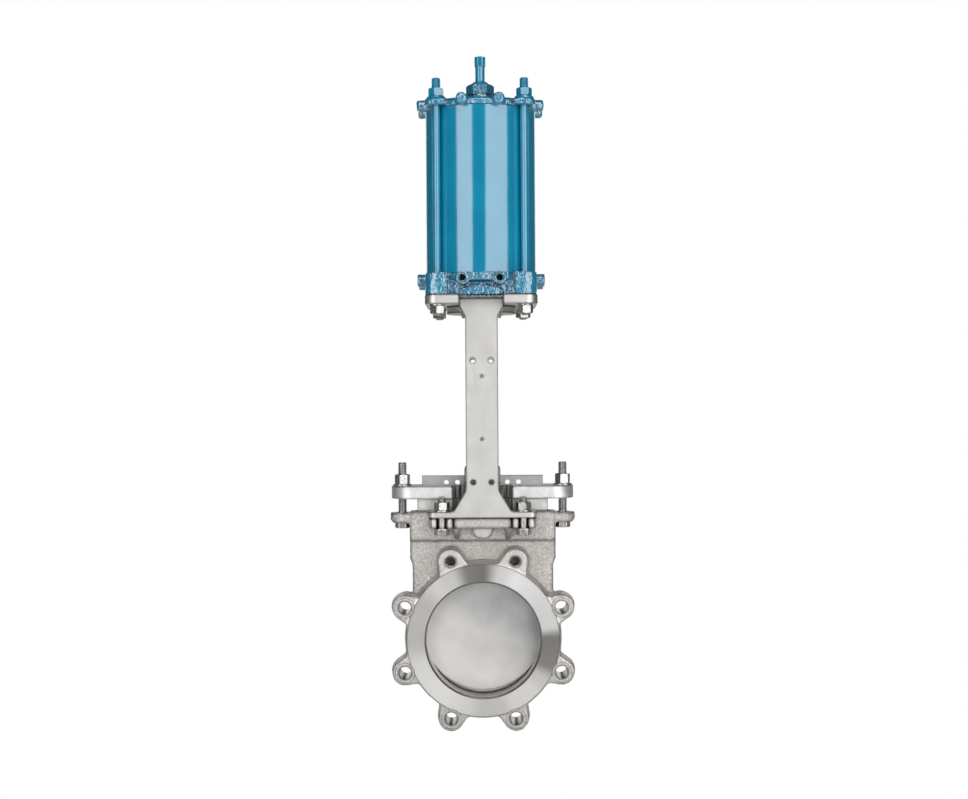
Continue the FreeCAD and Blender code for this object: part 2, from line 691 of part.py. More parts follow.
def cylinder_bottom_head():
    """Square head with tall corner blocks. Between them each side is cut back above a low arched pad."""
    z0, z1 = TOP_PLATE_Z[1], LOW_HEAD_TOP
    head = square_and_round(z0, z1)
    face = STEM_Y - HEAD_HALF
    hollow = [(-RECESS_HALF, z0 - 1, 0), (RECESS_HALF, z0 - 1, 0), (RECESS_HALF, z1 - 9, 8)]
    hollow += [(40, z1 - 14, 14), (-40, z1 - 14, 14), (-RECESS_HALF, z1 - 9, 8)]
    head = head.cut(four_ways(front_prism(hollow, face - 10, face + 15)))
    bosses = []
    for pair in four_ways(Part.makeCompound(head_boss(LOW_BOSS_Z, False))):
        bosses += pair.Solids
    arch = [(-PAD_HALF, PAD_LOW, 0), (PAD_HALF, PAD_LOW, 0), (PAD_HALF, z0 + 9, 3), (14, z0 + 16, 30)]
    arch += [(-14, z0 + 16, 30), (-PAD_HALF, z0 + 9, 3)]
    pad = front_prism(arch, face, face + 20)
    spigot = rod_z(SPIGOT_R, z1 - 1, z1 + SPIGOT_L)
    pilot = rod_z(PILOT_R, TOP_PLATE_Z[0], z0 + 1)
    head = fused([head, spigot, pilot, pad, mirrored_y(pad)] + bosses)
    tools = [rod_z(ROD_BORE_R, TOP_PLATE_Z[0] - 1, z1 + SPIGOT_L + 1), o_ring_groove(z1 + 4)]
    tools += tie_holes(z0, z1) + [around_tube(z1, z1 + SPIGOT_L)]
    end = STEM_Y - BOSS_REACH
    for side in (-1, 1):
        tools.append(rod_y(AIR_PORT_R, end - 1, end + AIR_PORT_DEPTH, side * BOSS_X, LOW_BOSS_Z))
    way_y = STEM_Y - 70
    tools.append(rod_y(AIR_WAY_R, end, way_y, -BOSS_X, LOW_BOSS_Z))
    tools.append(rod_z(AIR_WAY_R, LOW_BOSS_Z, z1 + SPIGOT_L + 1, -BOSS_X, way_y))
    return head.cut(tools).removeSplitter()


def cylinder_top_head():
    """Square head with sloping flanks, corner bosses for the tie rods and a hub for the travel stop."""
    z0, z1 = HIGH_HEAD_Z
    flat = square_and_round(z0, z1 - 3)
    rim = [e for e in flat.Edges if e.BoundBox.ZMin > z1 - 3.01]
    flat = flat.makeChamfer(5.0, rim)
    solids = [flat, rod_z(HUB_R, z0, HUB_TOP), rod_z(SPIGOT_R, z0 - SPIGOT_L, z0 + 1)]
    hub_flare = turned([(0, z1 - 4), (HUB_R + 12, z1 - 4), (HUB_R, z1 + 6), (0, z1 + 6)])
    solids.append(hub_flare)
    for side in (-1, 1):
        for depth in (-1, 1):
            x, y = side * TIE_X, STEM_Y + depth * TIE_X
            solids.append(turned([(0, z0), (18.5, z0), (18.5, z1 - 7), (15.5, z1), (0, z1)], x, y))
    for pair in four_ways(Part.makeCompound(head_boss(HIGH_BOSS_Z, True))):
        solids += pair.Solids
    head = fused(solids)
    tools = [rod_z(STOP_R + 1, z0 - SPIGOT_L - 1, HUB_TOP), rod_z(STOP_GLAND_R, STOP_SEAL_Z[0] - 0.2, HUB_TOP + 1)]
    tools += [o_ring_groove(z0 - 4 - O_RING_W), around_tube(z0 - SPIGOT_L, z0)] + tie_holes(z0, z1)
    end = -BOSS_REACH
    port_y = STEM_Y - BOSS_X
    tools.append(rod_x(AIR_PORT_R, end - 1, end + AIR_PORT_DEPTH, port_y, HIGH_BOSS_Z))
    tools.append(rod_x(AIR_WAY_R, end, -70, port_y, HIGH_BOSS_Z))
    tools.append(rod_z(AIR_WAY_R, z0 - SPIGOT_L - 1, HIGH_BOSS_Z, -70, port_y))
    return head.cut(tools).removeSplitter()


def tie_holes(z0, z1):
    holes = []
    for side in (-1, 1):
        for depth in (-1, 1):
            holes.append(rod_z(TIE_R + 0.3, z0 - 1, z1 + 1, side * TIE_X, STEM_Y + depth * TIE_X))
    return holes


def o_ring_groove(z0):
    return sleeve_z(SPIGOT_R + 1, SPIGOT_R - O_RING_DEPTH, z0, z0 + O_RING_W)


def o_ring(z0):
    return sleeve_z(TUBE_R_IN - 0.02, SPIGOT_R - O_RING_DEPTH, z0 + 0.05, z0 + O_RING_W - 0.05)


def cylinder_tube():
    return sleeve_z(TUBE_R_OUT, TUBE_R_IN, LOW_HEAD_TOP, HIGH_HEAD_Z[0])


def at_tie_rods(make):
    places = [(side * TIE_X, STEM_Y + depth * TIE_X) for side in (-1, 1) for depth in (-1, 1)]
    return Part.makeCompound([make(x, y) for x, y in places])


def tie_rod(x, y):
    return threaded_rod(TIE_R, TIE_Z[0], TIE_Z[1], x, y, 2.2)


def tie_top_nut(x, y):
    return nut(LARGE_NUT_AF, HIGH_HEAD_Z[1], HIGH_HEAD_Z[1] + LARGE_NUT_H, TIE_R, x, y, 18 if x < 0 else 4)


def tie_bottom_washer(x, y):
    return washer(NARROW_WASHER_R, TIE_R, TOP_PLATE_Z[0] - LARGE_WASHER_T, LARGE_WASHER_T, x, y)


def tie_bottom_nut(x, y):
    z1 = TOP_PLATE_Z[0] - LARGE_WASHER_T
    return nut(LARGE_NUT_AF, z1 - LARGE_NUT_H, z1, TIE_R, x, y, 26 if x < 0 else 10)


def rod_gland_retainer():
    """Round plate under the yoke's top plate, flat beside the legs, that holds the rod seal up."""
    plate = rod_z(RETAINER_R, *RETAINER_Z).common(slab(RETAINER_R, RETAINER_FLAT, *RETAINER_Z))
    low = RETAINER_Z[0]
    tools = [rod_z(STEM_R + 0.4, low - 1, RETAINER_Z[1] + 1), rod_z(16, low + 3, low + 8)]
    for side in (-1, 1):
        for depth in (-1, 1):
            x, y = side * SCREW_PITCH, STEM_Y + depth * SCREW_PITCH
            tools.append(rod_z(SCREW_R + 0.3, low - 1, RETAINER_Z[1] + 1, x, y))
    return plate.cut(tools)


def retainer_screws():
    solids = []
    low = RETAINER_Z[0]
    for side in (-1, 1):
        for depth in (-1, 1):
            x, y = side * SCREW_PITCH, STEM_Y + depth * SCREW_PITCH
            head = hex_block(13, low - 5.3, low, x, y, 30, True, False)
            solids.append(head.fuse(threaded_rod(SCREW_R, low - 3, TOP_PLATE_Z[1] - 4, x, y, 0.6)))
    return Part.makeCompound(solids)


def rod_sleeve(r_out, z0, z1):
    """Bush, seal or wiper that the stem runs through."""
    return sleeve_z(r_out, STEM_R + STEM_FIT, z0, z1)


# ---- stem, clevis and piston ----


def stem():
    low, shoulder, top = STEM_LOW, PISTON_Z[0], PISTON_Z[1] - 0.5
    profile = [(0, low), (STEM_R - 1, low), (STEM_R, low + 1), (STEM_R, shoulder), (PISTON_BORE_R, shoulder)]
    profile += [(PISTON_BORE_R, top - 1), (PISTON_BORE_R - 1, top), (0, top)]
    return turned(profile)


def clevis():
    """Fork over the gate's top edge, screwed to the stem."""
    corners = [(-CLEVIS_HALF, CLEVIS_Z[0], 3), (CLEVIS_HALF, CLEVIS_Z[0], 3), (CLEVIS_HALF, CLEVIS_Z[1], 8)]
    corners.append((-CLEVIS_HALF, CLEVIS_Z[1], 8))
    fork = front_prism(corners, STEM_Y - CLEVIS_HALF_T, STEM_Y + CLEVIS_HALF_T)
    tools = [slab(CLEVIS_HALF + 1, GATE_T / 2, CLEVIS_Z[0] - 1, GATE_TOP + 0.2)]
    tools.append(rod_z(STEM_R, GATE_TOP, CLEVIS_Z[1] + 1))
    y0, y1 = STEM_Y - CLEVIS_HALF_T - 1, STEM_Y + CLEVIS_HALF_T + 1
    tools += [rod_y(CLEVIS_HOLE_R, y0, y1, side * CLEVIS_BOLT_X, CLEVIS_BOLT_Z) for side in (-1, 1)]
    return fork.cut(tools)


def lying(shape, x, z):
    """A piece made upright at the origin, laid along +Y with its base in the stem's plane at x, z."""
    laid = shape.copy()
    laid.rotate(V(0, 0, 0), V(1, 0, 0), -90)
    laid.translate(V(x, STEM_Y, z))
    return laid


def clevis_bolts():
    solids = []
    for side in (-1, 1):
        head = hex_block(16, -CLEVIS_HALF_T - 6.4, -CLEVIS_HALF_T, 0, 0, 30, True, False)
        whole = head.fuse(threaded_rod(CLEVIS_BOLT_R, -CLEVIS_HALF_T - 3, CLEVIS_HALF_T + 10.5, 0, 0, 0.8))
        solids.append(lying(whole, side * CLEVIS_BOLT_X, CLEVIS_BOLT_Z))
    return Part.makeCompound(solids)


def clevis_nuts():
    blank = nut(16, CLEVIS_HALF_T, CLEVIS_HALF_T + 8, CLEVIS_BOLT_R, 0, 0, 30)
    return Part.makeCompound([lying(blank, side * CLEVIS_BOLT_X, CLEVIS_BOLT_Z) for side in (-1, 1)])


PISTON_GROOVES = ((3.5, 6.0, 5.6), (14.0, 14.0, 2.6), (32.5, 6.0, 5.6))


def piston():
    """Disc with two seal grooves, a guide band groove and a recess for its nut."""
    z0, z1 = PISTON_Z
    disc = rod_z(PISTON_R, z0, z1)
    tools = [rod_z(PISTON_BORE_R, z0 - 1, z1), rod_z(PISTON_RECESS_R, PISTON_RECESS_Z, z1 + 1)]
    for start, width, depth in PISTON_GROOVES:
        tools.append(sleeve_z(PISTON_R + 1, PISTON_R - depth, z0 + start, z0 + start + width))
    return disc.cut(tools)


def piston_band(index):
    start, width, depth = PISTON_GROOVES[index]
    z0 = PISTON_Z[0] + start
    return sleeve_z(PISTON_RUN_R, PISTON_R - depth, z0 + 0.05, z0 + width - 0.05)


# ---- travel stop ----


def stop_gland():
    """Hexagonal gland with a collar on top and a threaded spigot in the hub."""
    low, seat, shoulder, top = STOP_GLAND_Z
    block = hex_block(STOP_GLAND_AF, seat, shoulder, 0, STEM_Y, 0, False, True)
    spigot = rod_z(STOP_GLAND_R, low, seat + 1)
    collar = turned([(0, shoulder - 1), (18, shoulder - 1), (13.7, shoulder + 4.3), (9.8, top), (0, top)])
    return fused([block, spigot, collar]).cut(rod_z(STOP_R + STOP_FIT, low - 1, top + 1))


def stop_screw():
    """Plain screw with a wider driving head, seen above the gland."""
    low, top = PISTON_Z[1] + STROKE + STOP_SPARE, STOP_TOP
    neck = STOP_HEAD_Z
    profile = [(0, low), (STOP_R - 1.5, low), (STOP_R, low + 1.5), (STOP_R, neck - 2)]
    profile += [(STOP_HEAD_R, neck + 1), (STOP_HEAD_R, top - 1), (STOP_HEAD_R - 1, top), (0, top)]
    screw = turned(profile)
    flats = slab(9.6, 9.6, neck + 1, top + 1).fuse(slab(20, 20, low - 1, neck + 1))
    return screw.common(flats)


def stop_seal():
    return sleeve_z(STOP_GLAND_R - 0.05, STOP_R + STOP_FIT, *STOP_SEAL_Z)


def nodes():
    """Every separate piece of the valve, by name."""
    leg = yoke_leg()
    made = {
        "body_casting": body_casting(),
        "seat_ring": seat_ring(),
        "seat_retainer": seat_retainer(),
        "gate": gate(),
        "packing_gland": packing_gland(),
        "gland_bolts": at_ears(gland_bolt),
        "gland_washers": at_ears(gland_washer),
        "gland_nuts": at_ears(gland_nut),
        "yoke_leg_front": leg,
        "yoke_leg_rear": mirrored_y(leg),
        "yoke_top_plate": yoke_top_plate(),
        "yoke_bolts": at_yoke_bolts(yoke_bolt),
        "yoke_nuts": at_yoke_bolts(yoke_nut),
        "yoke_washers": at_yoke_bolts(yoke_washer),
        "cylinder_bottom_head": cylinder_bottom_head(),
        "cylinder_top_head": cylinder_top_head(),
        "cylinder_tube": cylinder_tube(),
        "tube_seal_bottom": o_ring(LOW_HEAD_TOP + 4),
        "tube_seal_top": o_ring(HIGH_HEAD_Z[0] - 4 - O_RING_W),
        "tie_rods": at_tie_rods(tie_rod),
        "tie_rod_top_nuts": at_tie_rods(tie_top_nut),
        "tie_rod_bottom_washers": at_tie_rods(tie_bottom_washer),
        "tie_rod_bottom_nuts": at_tie_rods(tie_bottom_nut),
        "rod_gland_retainer": rod_gland_retainer(),
        "retainer_screws": retainer_screws(),
        "rod_bushing": rod_sleeve(ROD_BORE_R, TOP_PLATE_Z[1] + 1, LOW_HEAD_TOP + SPIGOT_L - 1),
        "rod_seal": rod_sleeve(ROD_BORE_R - 0.05, TOP_PLATE_Z[0] + 2, TOP_PLATE_Z[1] - 2),
        "rod_wiper": rod_sleeve(15.95, RETAINER_Z[0] + 3.1, RETAINER_Z[0] + 7.9),
        "stem": stem(),
        "stem_jam_nut": nut(38, CLEVIS_Z[1], CLEVIS_Z[1] + 13, STEM_R, 0, STEM_Y, 30),
        "clevis": clevis(),
        "clevis_bolts": clevis_bolts(),
        "clevis_nuts": clevis_nuts(),
        "piston": piston(),
        "piston_seal_lower": piston_band(0),
        "piston_guide_band": piston_band(1),
        "piston_seal_upper": piston_band(2),
        "piston_washer": washer(18, PISTON_BORE_R, PISTON_RECESS_Z, 3, 0, STEM_Y),
        "piston_nut": nut(30, PISTON_RECESS_Z + 3, PISTON_Z[1] - 2, PISTON_BORE_R, 0, STEM_Y),
        "stop_gland": stop_gland(),
        "stop_screw": stop_screw(),
        "stop_seal": stop_seal(),
    }
    for index in range(PACKING_COUNT):
        made["packing_ring_%d" % (index + 1)] = packing_ring(index)
    return made


def main():
    os.makedirs("parts", exist_ok=True)
    for name, shape in nodes().items():
        good = shape.isValid() and all(solid.Volume > 0 for solid in shape.Solids)
        print("%-24s %2d solids %10.1f cm3 %s" % (name, len(shape.Solids), shape.Volume / 1000, good))
        shape.exportStep(os.path.join("parts", name + ".step"))


main()
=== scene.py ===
import json
import math
import bmesh
import bpy
import numpy as np
from mathutils import Matrix, Vector, noise

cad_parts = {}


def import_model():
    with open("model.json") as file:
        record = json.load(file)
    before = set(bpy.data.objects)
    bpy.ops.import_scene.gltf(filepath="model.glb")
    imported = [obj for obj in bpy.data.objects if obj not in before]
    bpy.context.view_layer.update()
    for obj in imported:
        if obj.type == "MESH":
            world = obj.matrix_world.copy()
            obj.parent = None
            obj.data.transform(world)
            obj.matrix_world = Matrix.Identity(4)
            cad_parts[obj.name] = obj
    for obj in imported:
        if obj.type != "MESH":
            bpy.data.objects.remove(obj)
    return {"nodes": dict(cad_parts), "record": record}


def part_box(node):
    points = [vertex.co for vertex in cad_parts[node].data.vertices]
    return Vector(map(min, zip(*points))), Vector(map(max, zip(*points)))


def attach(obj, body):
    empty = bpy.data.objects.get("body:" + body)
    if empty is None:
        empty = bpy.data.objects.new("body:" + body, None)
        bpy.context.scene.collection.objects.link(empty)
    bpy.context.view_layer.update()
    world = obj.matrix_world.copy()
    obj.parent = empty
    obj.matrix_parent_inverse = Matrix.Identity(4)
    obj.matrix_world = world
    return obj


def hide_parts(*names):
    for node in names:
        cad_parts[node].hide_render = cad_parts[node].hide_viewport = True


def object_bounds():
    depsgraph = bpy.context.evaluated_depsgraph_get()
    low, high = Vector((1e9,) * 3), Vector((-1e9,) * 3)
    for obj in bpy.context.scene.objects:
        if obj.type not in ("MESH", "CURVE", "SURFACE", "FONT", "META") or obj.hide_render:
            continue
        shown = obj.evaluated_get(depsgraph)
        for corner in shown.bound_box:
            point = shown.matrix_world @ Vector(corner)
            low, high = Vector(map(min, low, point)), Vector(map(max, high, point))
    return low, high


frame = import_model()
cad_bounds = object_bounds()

NODES = frame["nodes"]
MM = 0.001
scene = bpy.context.scene
scene.view_settings.view_transform = "Standard"

# Sizes of the valve, in millimetres. The rest are taken from the CAD nodes' own boxes.

# Body: flange faces and lugs
STEM_Y = 12.0
FACE_Y = 34.95
RAISED_R = 134.95
RAISED_CHAMFER = 0.4
LUG_FACE_Y = 33.35
LUG_HOLE_R = 11.1
LUG_RIM_R = 17.5
LUG_RIM_DEPTH = 0.5
BOLT_CIRCLE_R = 149.225

# Body: tapped lug holes, their depths by side (upstream is -1)
TAPPED_R = 8.33
TAPPED_PITCH = 2.54
THREAD_ROOT_R = 9.53
COUNTERSINK = 2.0
TAPPED_DEPTH = {-1: 26.0, 1: 11.5}
DRILL_POINT = {-1: 4.5, 1: 1.8}

# Body: port, seat, slot of the gate and packing box
PORT_R = 100.5
PORT_CHAMFER = 3.2
REAR_PORT_R = 98.4
REAR_CHAMFER = 1.5
SEAT_R = 107.0
SEAT_BACK_Y = 24.0
SLOT_HALF = 109.5
SLOT_Y = (7.05, 16.95)
CAVITY_HALF = 118.0
CAVITY_HALF_T = 14.25
CAVITY_Z = 182.0
BOX_TOP_Z = 225.0

# Body: bolt ears, yoke ledges and the round pad below each ledge
EAR_X = 143.0
EAR_Z = (204.5, 222.5)
LEDGE_Z = (197.2, 216.0)
LEDGE_FRONT = 60.0
LEDGE_BLOCK_HALF = 49.5
GROOVE_HALF = 1.5
GROOVE_LENGTH = 7.0
PAD_HALF = 17.0
PAD_REACH = 40.0
PAD_Z = 175.0

# Bolts, tie rods, yoke, and the notches that the packing gland has for the yoke's legs
BOLT_R = 7.94
BOLT_PITCH = 2.31
BOLT_FLATS = 23.8
EAR_HOLE_R = BOLT_R + 0.5
TIE_HOLE_R = BOLT_R + 0.3
YOKE_BOLT_X = 71.8
YOKE_BOLT_REACH = 47.0
YOKE_HEAD_GAP = 2.6
LEG_INNER = 50.0
FOOT_TOP_Z = 226.6
TOP_PLATE_Z = 589.0
NOTCH_HALF = 53.0
NOTCH_REACH = 37.0
TIE_OFF = 76.5

# Cylinder heads, their spigots in the tube, and their bosses with the air ports
LOW_HEAD_Z = (605.0, 643.5)
HIGH_HEAD_Z = (933.0, 950.0)
SPIGOT_L = 11.5
SPIGOT_R = 92.0
TUBE_R = 98.45
TUBE_SEAT_R = TUBE_R + 0.5
ROD_BORE_R = 18.0
ROD_RECESS_R = 40.0
STOP_BORE_R = 9.5
STOP_SOCKET_R = 16.0
STOP_SOCKET_DEPTH = 5.0
HUB_PLUG_R = 19.0
BOSS_X = 32.0
BOSS_REACH = 112.0
AIR_PORT_R = 5.56
AIR_PORT_DEPTH = 16.0
LOW_BOSS_Z = 633.0
HIGH_BOSS_Z = 941.5

# How far plugs and cutting tools reach past the walls that they meet, where there is room
OVER = 3.0

# Middles of the bolts and tie rods
EARS = [(side * EAR_X, STEM_Y) for side in (-1, 1)]
LEDGES = [(a * YOKE_BOLT_X, STEM_Y + b * YOKE_BOLT_REACH) for a in (-1, 1) for b in (-1, 1)]
TIES = [(a * TIE_OFF, STEM_Y + b * TIE_OFF) for a in (-1, 1) for b in (-1, 1)]

# Where the point (u, v) of a section lies when the section is at w along each axis
PLACES = {
    "X": lambda u, v, w: (w, u, v),
    "Y": lambda u, v, w: (u, w, v),
    "Z": lambda u, v, w: (u, v, w),
}


# ---- closed meshes, given in millimetres ----


def circle(radius, sides=96):
    """Outline of a circle, anticlockwise."""
    turns = [2 * math.pi * k / sides for k in range(sides)]
    return [(radius * math.cos(t), radius * math.sin(t)) for t in turns]


def rectangle(u0, u1, v0, v1):
    """Outline of a rectangle, anticlockwise."""
    return [(u0, v0), (u1, v0), (u1, v1), (u0, v1)]


def prism(outline, axis, start, end, centre=(0.0, 0.0)):
    """An outline in the plane across an axis, drawn out along the axis from start to end."""
    place = PLACES[axis]
    count = len(outline)
    verts = []
    for w in (start, end):
        verts += [place(u + centre[0], v + centre[1], w) for u, v in outline]
    faces = [tuple(range(count)), tuple(range(2 * count - 1, count - 1, -1))]
    for k in range(count):
        after = (k + 1) % count
        faces.append((k, k + count, after + count, after))
    return verts, faces


def lathe(profile, axis, centre=(0.0, 0.0), sides=64):
    """A closed profile of (radius, height) points turned about an axis through centre."""
    place = PLACES[axis]
    rings = []
    verts = []
    for radius, height in profile:
        if radius < 1e-6:
            rings.append([len(verts)] * sides)
            verts.append(place(centre[0], centre[1], height))
            continue
        rings.append(list(range(len(verts), len(verts) + sides)))
        for u, v in circle(radius, sides):
            verts.append(place(u + centre[0], v + centre[1], height))
    faces = []
    for i, ring in enumerate(rings):
        following = rings[(i + 1) % len(rings)]
        for k in range(sides):
            corners = [ring[k], ring[(k + 1) % sides], following[(k + 1) % sides], following[k]]
            distinct = list(dict.fromkeys(corners))
            if len(distinct) > 2:
                faces.append(tuple(distinct))
    return verts, faces


def tube_faces(rows, sides):
    """Quads between neighbouring rings of points, row after row."""
    faces = []
    for row in range(rows - 1):
        for k in range(sides):
            a, b = row * sides + k, row * sides + (k + 1) % sides
            faces.append((a, b, b + sides, a + sides))
    return faces


def capped(rows, sides):
    """Faces of a rod of rings of points, with its two ends."""
    count = rows * sides
    return [tuple(range(sides)), tuple(range(count - 1, count - sides - 1, -1))] + tube_faces(rows, sides)


def joined(shapes):
    """Several shapes as one."""
    verts = []
    faces = []
    for part_verts, part_faces in shapes:
        base = len(verts)
        verts += part_verts
        faces += [tuple(base + i for i in face) for face in part_faces]
    return verts, faces


def mesh_of(name, shape):
    """Mesh in metres from verts and faces in millimetres, with its faces turned outwards."""
    verts, faces = shape
    mesh = bpy.data.meshes.new(name)
    mesh.from_pydata([[c * MM for c in v] for v in verts], [], faces)
    shell = bmesh.new()
    shell.from_mesh(mesh)
    bmesh.ops.recalc_face_normals(shell, faces=shell.faces)
    shell.to_mesh(mesh)
    shell.free()
    return mesh


def object_of(name, mesh):
    """A new object in the scene, from a mesh, lamp or camera."""
    ob = bpy.data.objects.new(name, mesh)
    scene.collection.objects.link(ob)
    return ob


def applied(ob):
    """The object's mesh with its modifiers applied, and the modifiers taken off."""
    bpy.context.view_layer.update()
    graph = bpy.context.evaluated_depsgraph_get()
    mesh = bpy.data.meshes.new_from_object(ob.evaluated_get(graph))
    ob.modifiers.clear()
    ob.data = mesh
    return mesh


def combine(ob, shape, operation):
    """Unite ob with a closed shape, or cut the shape out of it."""
    tool = object_of("tool", mesh_of("tool", shape))
    mod = ob.modifiers.new("combine", "BOOLEAN")
    mod.operation = operation
    mod.solver = "MANIFOLD"
    mod.object = tool
    applied(ob)
    bpy.data.objects.remove(tool)


def smoothed(ob):
    """Smooth shading, sharp where two faces meet at more than 35 degrees."""
    mesh = ob.data
    mesh.shade_smooth()
    mesh.set_sharp_from_angle(angle=math.radians(35))


# ---- cast skins ----

# Finest step of a head's skin, and its unevenness as (size, height) pairs, in millimetres
HEAD_SURFACE = {"voxel": 1.6, "grain": [(9.0, 0.6), (4.0, 0.4)]}


def cast_skin(name, node, surface, plugs, trims, adds, cuts):
    """A casting with rounded corners and an uneven surface, over a CAD node with its bores filled in.
    It is trimmed back, the machined faces are added, and the bores are cut again at their true sizes."""
    mesh = NODES[node].data.copy()
    shell = bmesh.new()
    shell.from_mesh(mesh)
    for shape in plugs:
        shell.from_mesh(mesh_of("plug", shape))
    bmesh.ops.remove_doubles(shell, verts=shell.verts, dist=1e-6)
    shell.to_mesh(mesh)
    shell.free()
    ob = object_of(name, mesh)
    remesh = ob.modifiers.new("remesh", "REMESH")
    remesh.mode = "VOXEL"
    remesh.voxel_size = surface["voxel"] * MM
    smooth = ob.modifiers.new("smooth", "SMOOTH")
    smooth.factor = 0.5
    smooth.iterations = 3
    mesh = applied(ob)
    roughened(mesh, surface["grain"])
    for shape in trims:
        combine(ob, shape, "DIFFERENCE")
    for shape in adds:
        combine(ob, shape, "UNION")
    for shape in cuts:
        combine(ob, shape, "DIFFERENCE")
    smoothed(ob)
    return ob


def roughened(mesh, grain):
    """Move each point along its normal by noise: grain holds (size, height) pairs in millimetres."""
    count = len(mesh.vertices)
    spots = np.zeros(count * 3)
    mesh.vertices.foreach_get("co", spots)
    spots = spots.reshape(-1, 3)
    normals = np.zeros(count * 3)
    mesh.vertices.foreach_get("normal", normals)
    normals = normals.reshape(-1, 3)
    lift = np.zeros(count)
    for size, height in grain:
        scaled = spots / (size * MM)
        lift += height * MM * np.array([noise.noise(Vector(p)) for p in scaled])
    spots += normals * lift[:, None]
    mesh.vertices.foreach_set("co", spots.ravel())
    mesh.update()


def lug_centres():
    """Middles of the eight flange holes, as (x, z)."""
    turns = [math.pi / 4 * (k + 0.5) for k in range(8)]
    return [(BOLT_CIRCLE_R * math.cos(t), BOLT_CIRCLE_R * math.sin(t)) for t in turns]


def is_tapped(centre):
    """True for the two lugs below the chest, whose holes are blind and threaded."""
    return centre[1] > 0 and abs(centre[0]) < BOLT_CIRCLE_R / 2


def body_plugs():
    """Solids that fill the bores and hollows of the body, a little larger than these."""
    plugs = [prism(circle(SLOT_HALF + OVER), "Y", -LUG_FACE_Y, LUG_FACE_Y)]
    plugs += [prism(circle(LUG_HOLE_R + 2), "Y", -LUG_FACE_Y, LUG_FACE_Y, c) for c in lug_centres()]
    slot = rectangle(-SLOT_HALF - OVER, SLOT_HALF + OVER, 0, 30)
    plugs.append(prism(slot, "Z", 0, CAVITY_Z + 5))
    hollow = rectangle(-CAVITY_HALF - OVER, CAVITY_HALF + OVER, STEM_Y - 18, STEM_Y + 18)
    plugs.append(prism(hollow, "Z", CAVITY_Z - 5, BOX_TOP_Z))
    plugs += [prism(circle(BOLT_R + OVER), "Z", *EAR_Z, ear) for ear in EARS]
    return plugs


def raised_faces():
    """A disc from one raised face to the other, with its edges broken."""
    inner, face = RAISED_R - RAISED_CHAMFER, FACE_Y - RAISED_CHAMFER
    profile = [(0, -FACE_Y), (inner, -FACE_Y), (RAISED_R, -face),
               (RAISED_R, face), (inner, FACE_Y), (0, FACE_Y)]
    return lathe(profile, "Y", sides=192)


def port_and_cavity():
    """The port with its seat, the slot for the gate, and the packing box above it."""
    out = FACE_Y + 1
    seat_y = SLOT_Y[1] - 0.2
    port = [(0, -out), (PORT_R + PORT_CHAMFER + 1, -out), (PORT_R, -FACE_Y + PORT_CHAMFER),
            (PORT_R, seat_y), (SEAT_R, seat_y), (SEAT_R, SEAT_BACK_Y),
            (REAR_PORT_R, SEAT_BACK_Y), (REAR_PORT_R, FACE_Y - REAR_CHAMFER),
            (REAR_PORT_R + REAR_CHAMFER + 1, out), (0, out)]
    slot = [(-SLOT_HALF, CAVITY_Z + 1), (SLOT_HALF, CAVITY_Z + 1)]
    turns = [math.pi * k / 64 for k in range(65)]
    slot += [(SLOT_HALF * math.cos(t), -SLOT_HALF * math.sin(t)) for t in turns]
    hollow = rectangle(-CAVITY_HALF, CAVITY_HALF, STEM_Y - CAVITY_HALF_T, STEM_Y + CAVITY_HALF_T)
    box = prism(hollow, "Z", CAVITY_Z, BOX_TOP_Z + OVER)
    return [lathe(port, "Y", sides=192), prism(slot, "Y", *SLOT_Y), box]


def lug_holes():
    """The six holes through the lugs, then the spot faces and tapped holes of each side."""
    plain = [c for c in lug_centres() if not is_tapped(c)]
    tapped = [c for c in lug_centres() if is_tapped(c)]
    cuts = [joined([prism(circle(LUG_HOLE_R, 48), "Y", -40, 40, c) for c in plain])]
    for side in (-1, 1):
        mouth = side * LUG_FACE_Y
        span = sorted((mouth - side * LUG_RIM_DEPTH, mouth + side * OVER))
        holes = [prism(circle(LUG_RIM_R, 64), "Y", *span, c) for c in plain]
        floor_y = mouth - side * TAPPED_DEPTH[side]
        tip_y = mouth - side * (TAPPED_DEPTH[side] + DRILL_POINT[side])
        well = [(0, mouth + side * 2), (THREAD_ROOT_R + COUNTERSINK, mouth + side * 2),
                (THREAD_ROOT_R, mouth - side * 0.4), (THREAD_ROOT_R, floor_y), (0, tip_y)]
        holes += [lathe(well, "Y", c, 48) for c in tapped]
        cuts.append(joined(holes))
    return cuts


def ledge_grooves():
    """Grooves beside the block between the prongs of each yoke ledge."""
    grooves = []
    for side in (-1, 1):
        for depth in (-1, 1):
            front = STEM_Y + depth * (LEDGE_FRONT + OVER)
            back = STEM_Y + depth * (LEDGE_FRONT - GROOVE_LENGTH)
            middle = side * (LEDGE_BLOCK_HALF + GROOVE_HALF)
            groove = rectangle(middle - GROOVE_HALF, middle + GROOVE_HALF, *sorted((front, back)))
            grooves.append(prism(groove, "Z", LEDGE_Z[0] - 5, LEDGE_Z[1] + 5))
    return joined(grooves)


def body_skin():
    """The body casting, trimmed flat outside its raised faces before these are added."""
    cuts = port_and_cavity() + lug_holes()
    cuts.append(joined([prism(circle(EAR_HOLE_R, 48), "Z", EAR_Z[0] - 5, EAR_Z[1] + 5, ear) for ear in EARS]))
    cuts.append(ledge_grooves())
    trims = []
    for side in (-1, 1):
        span = sorted((side * (LUG_FACE_Y + 0.4), side * 42))
        trims.append(prism(circle(RAISED_R - 0.1, 192), "Y", *span))
    surface = {"voxel": 1.9, "grain": [(9.0, 0.4), (4.0, 0.22)]}
    return cast_skin("casting_skin", "body_casting", surface, body_plugs(), trims, [raised_faces()], cuts)


def tie_plugs(z0, z1):
    """Solids that fill the tie rod holes of a cylinder head."""
    return [prism(circle(BOLT_R + OVER, 40), "Z", z0, z1, tie) for tie in TIES]


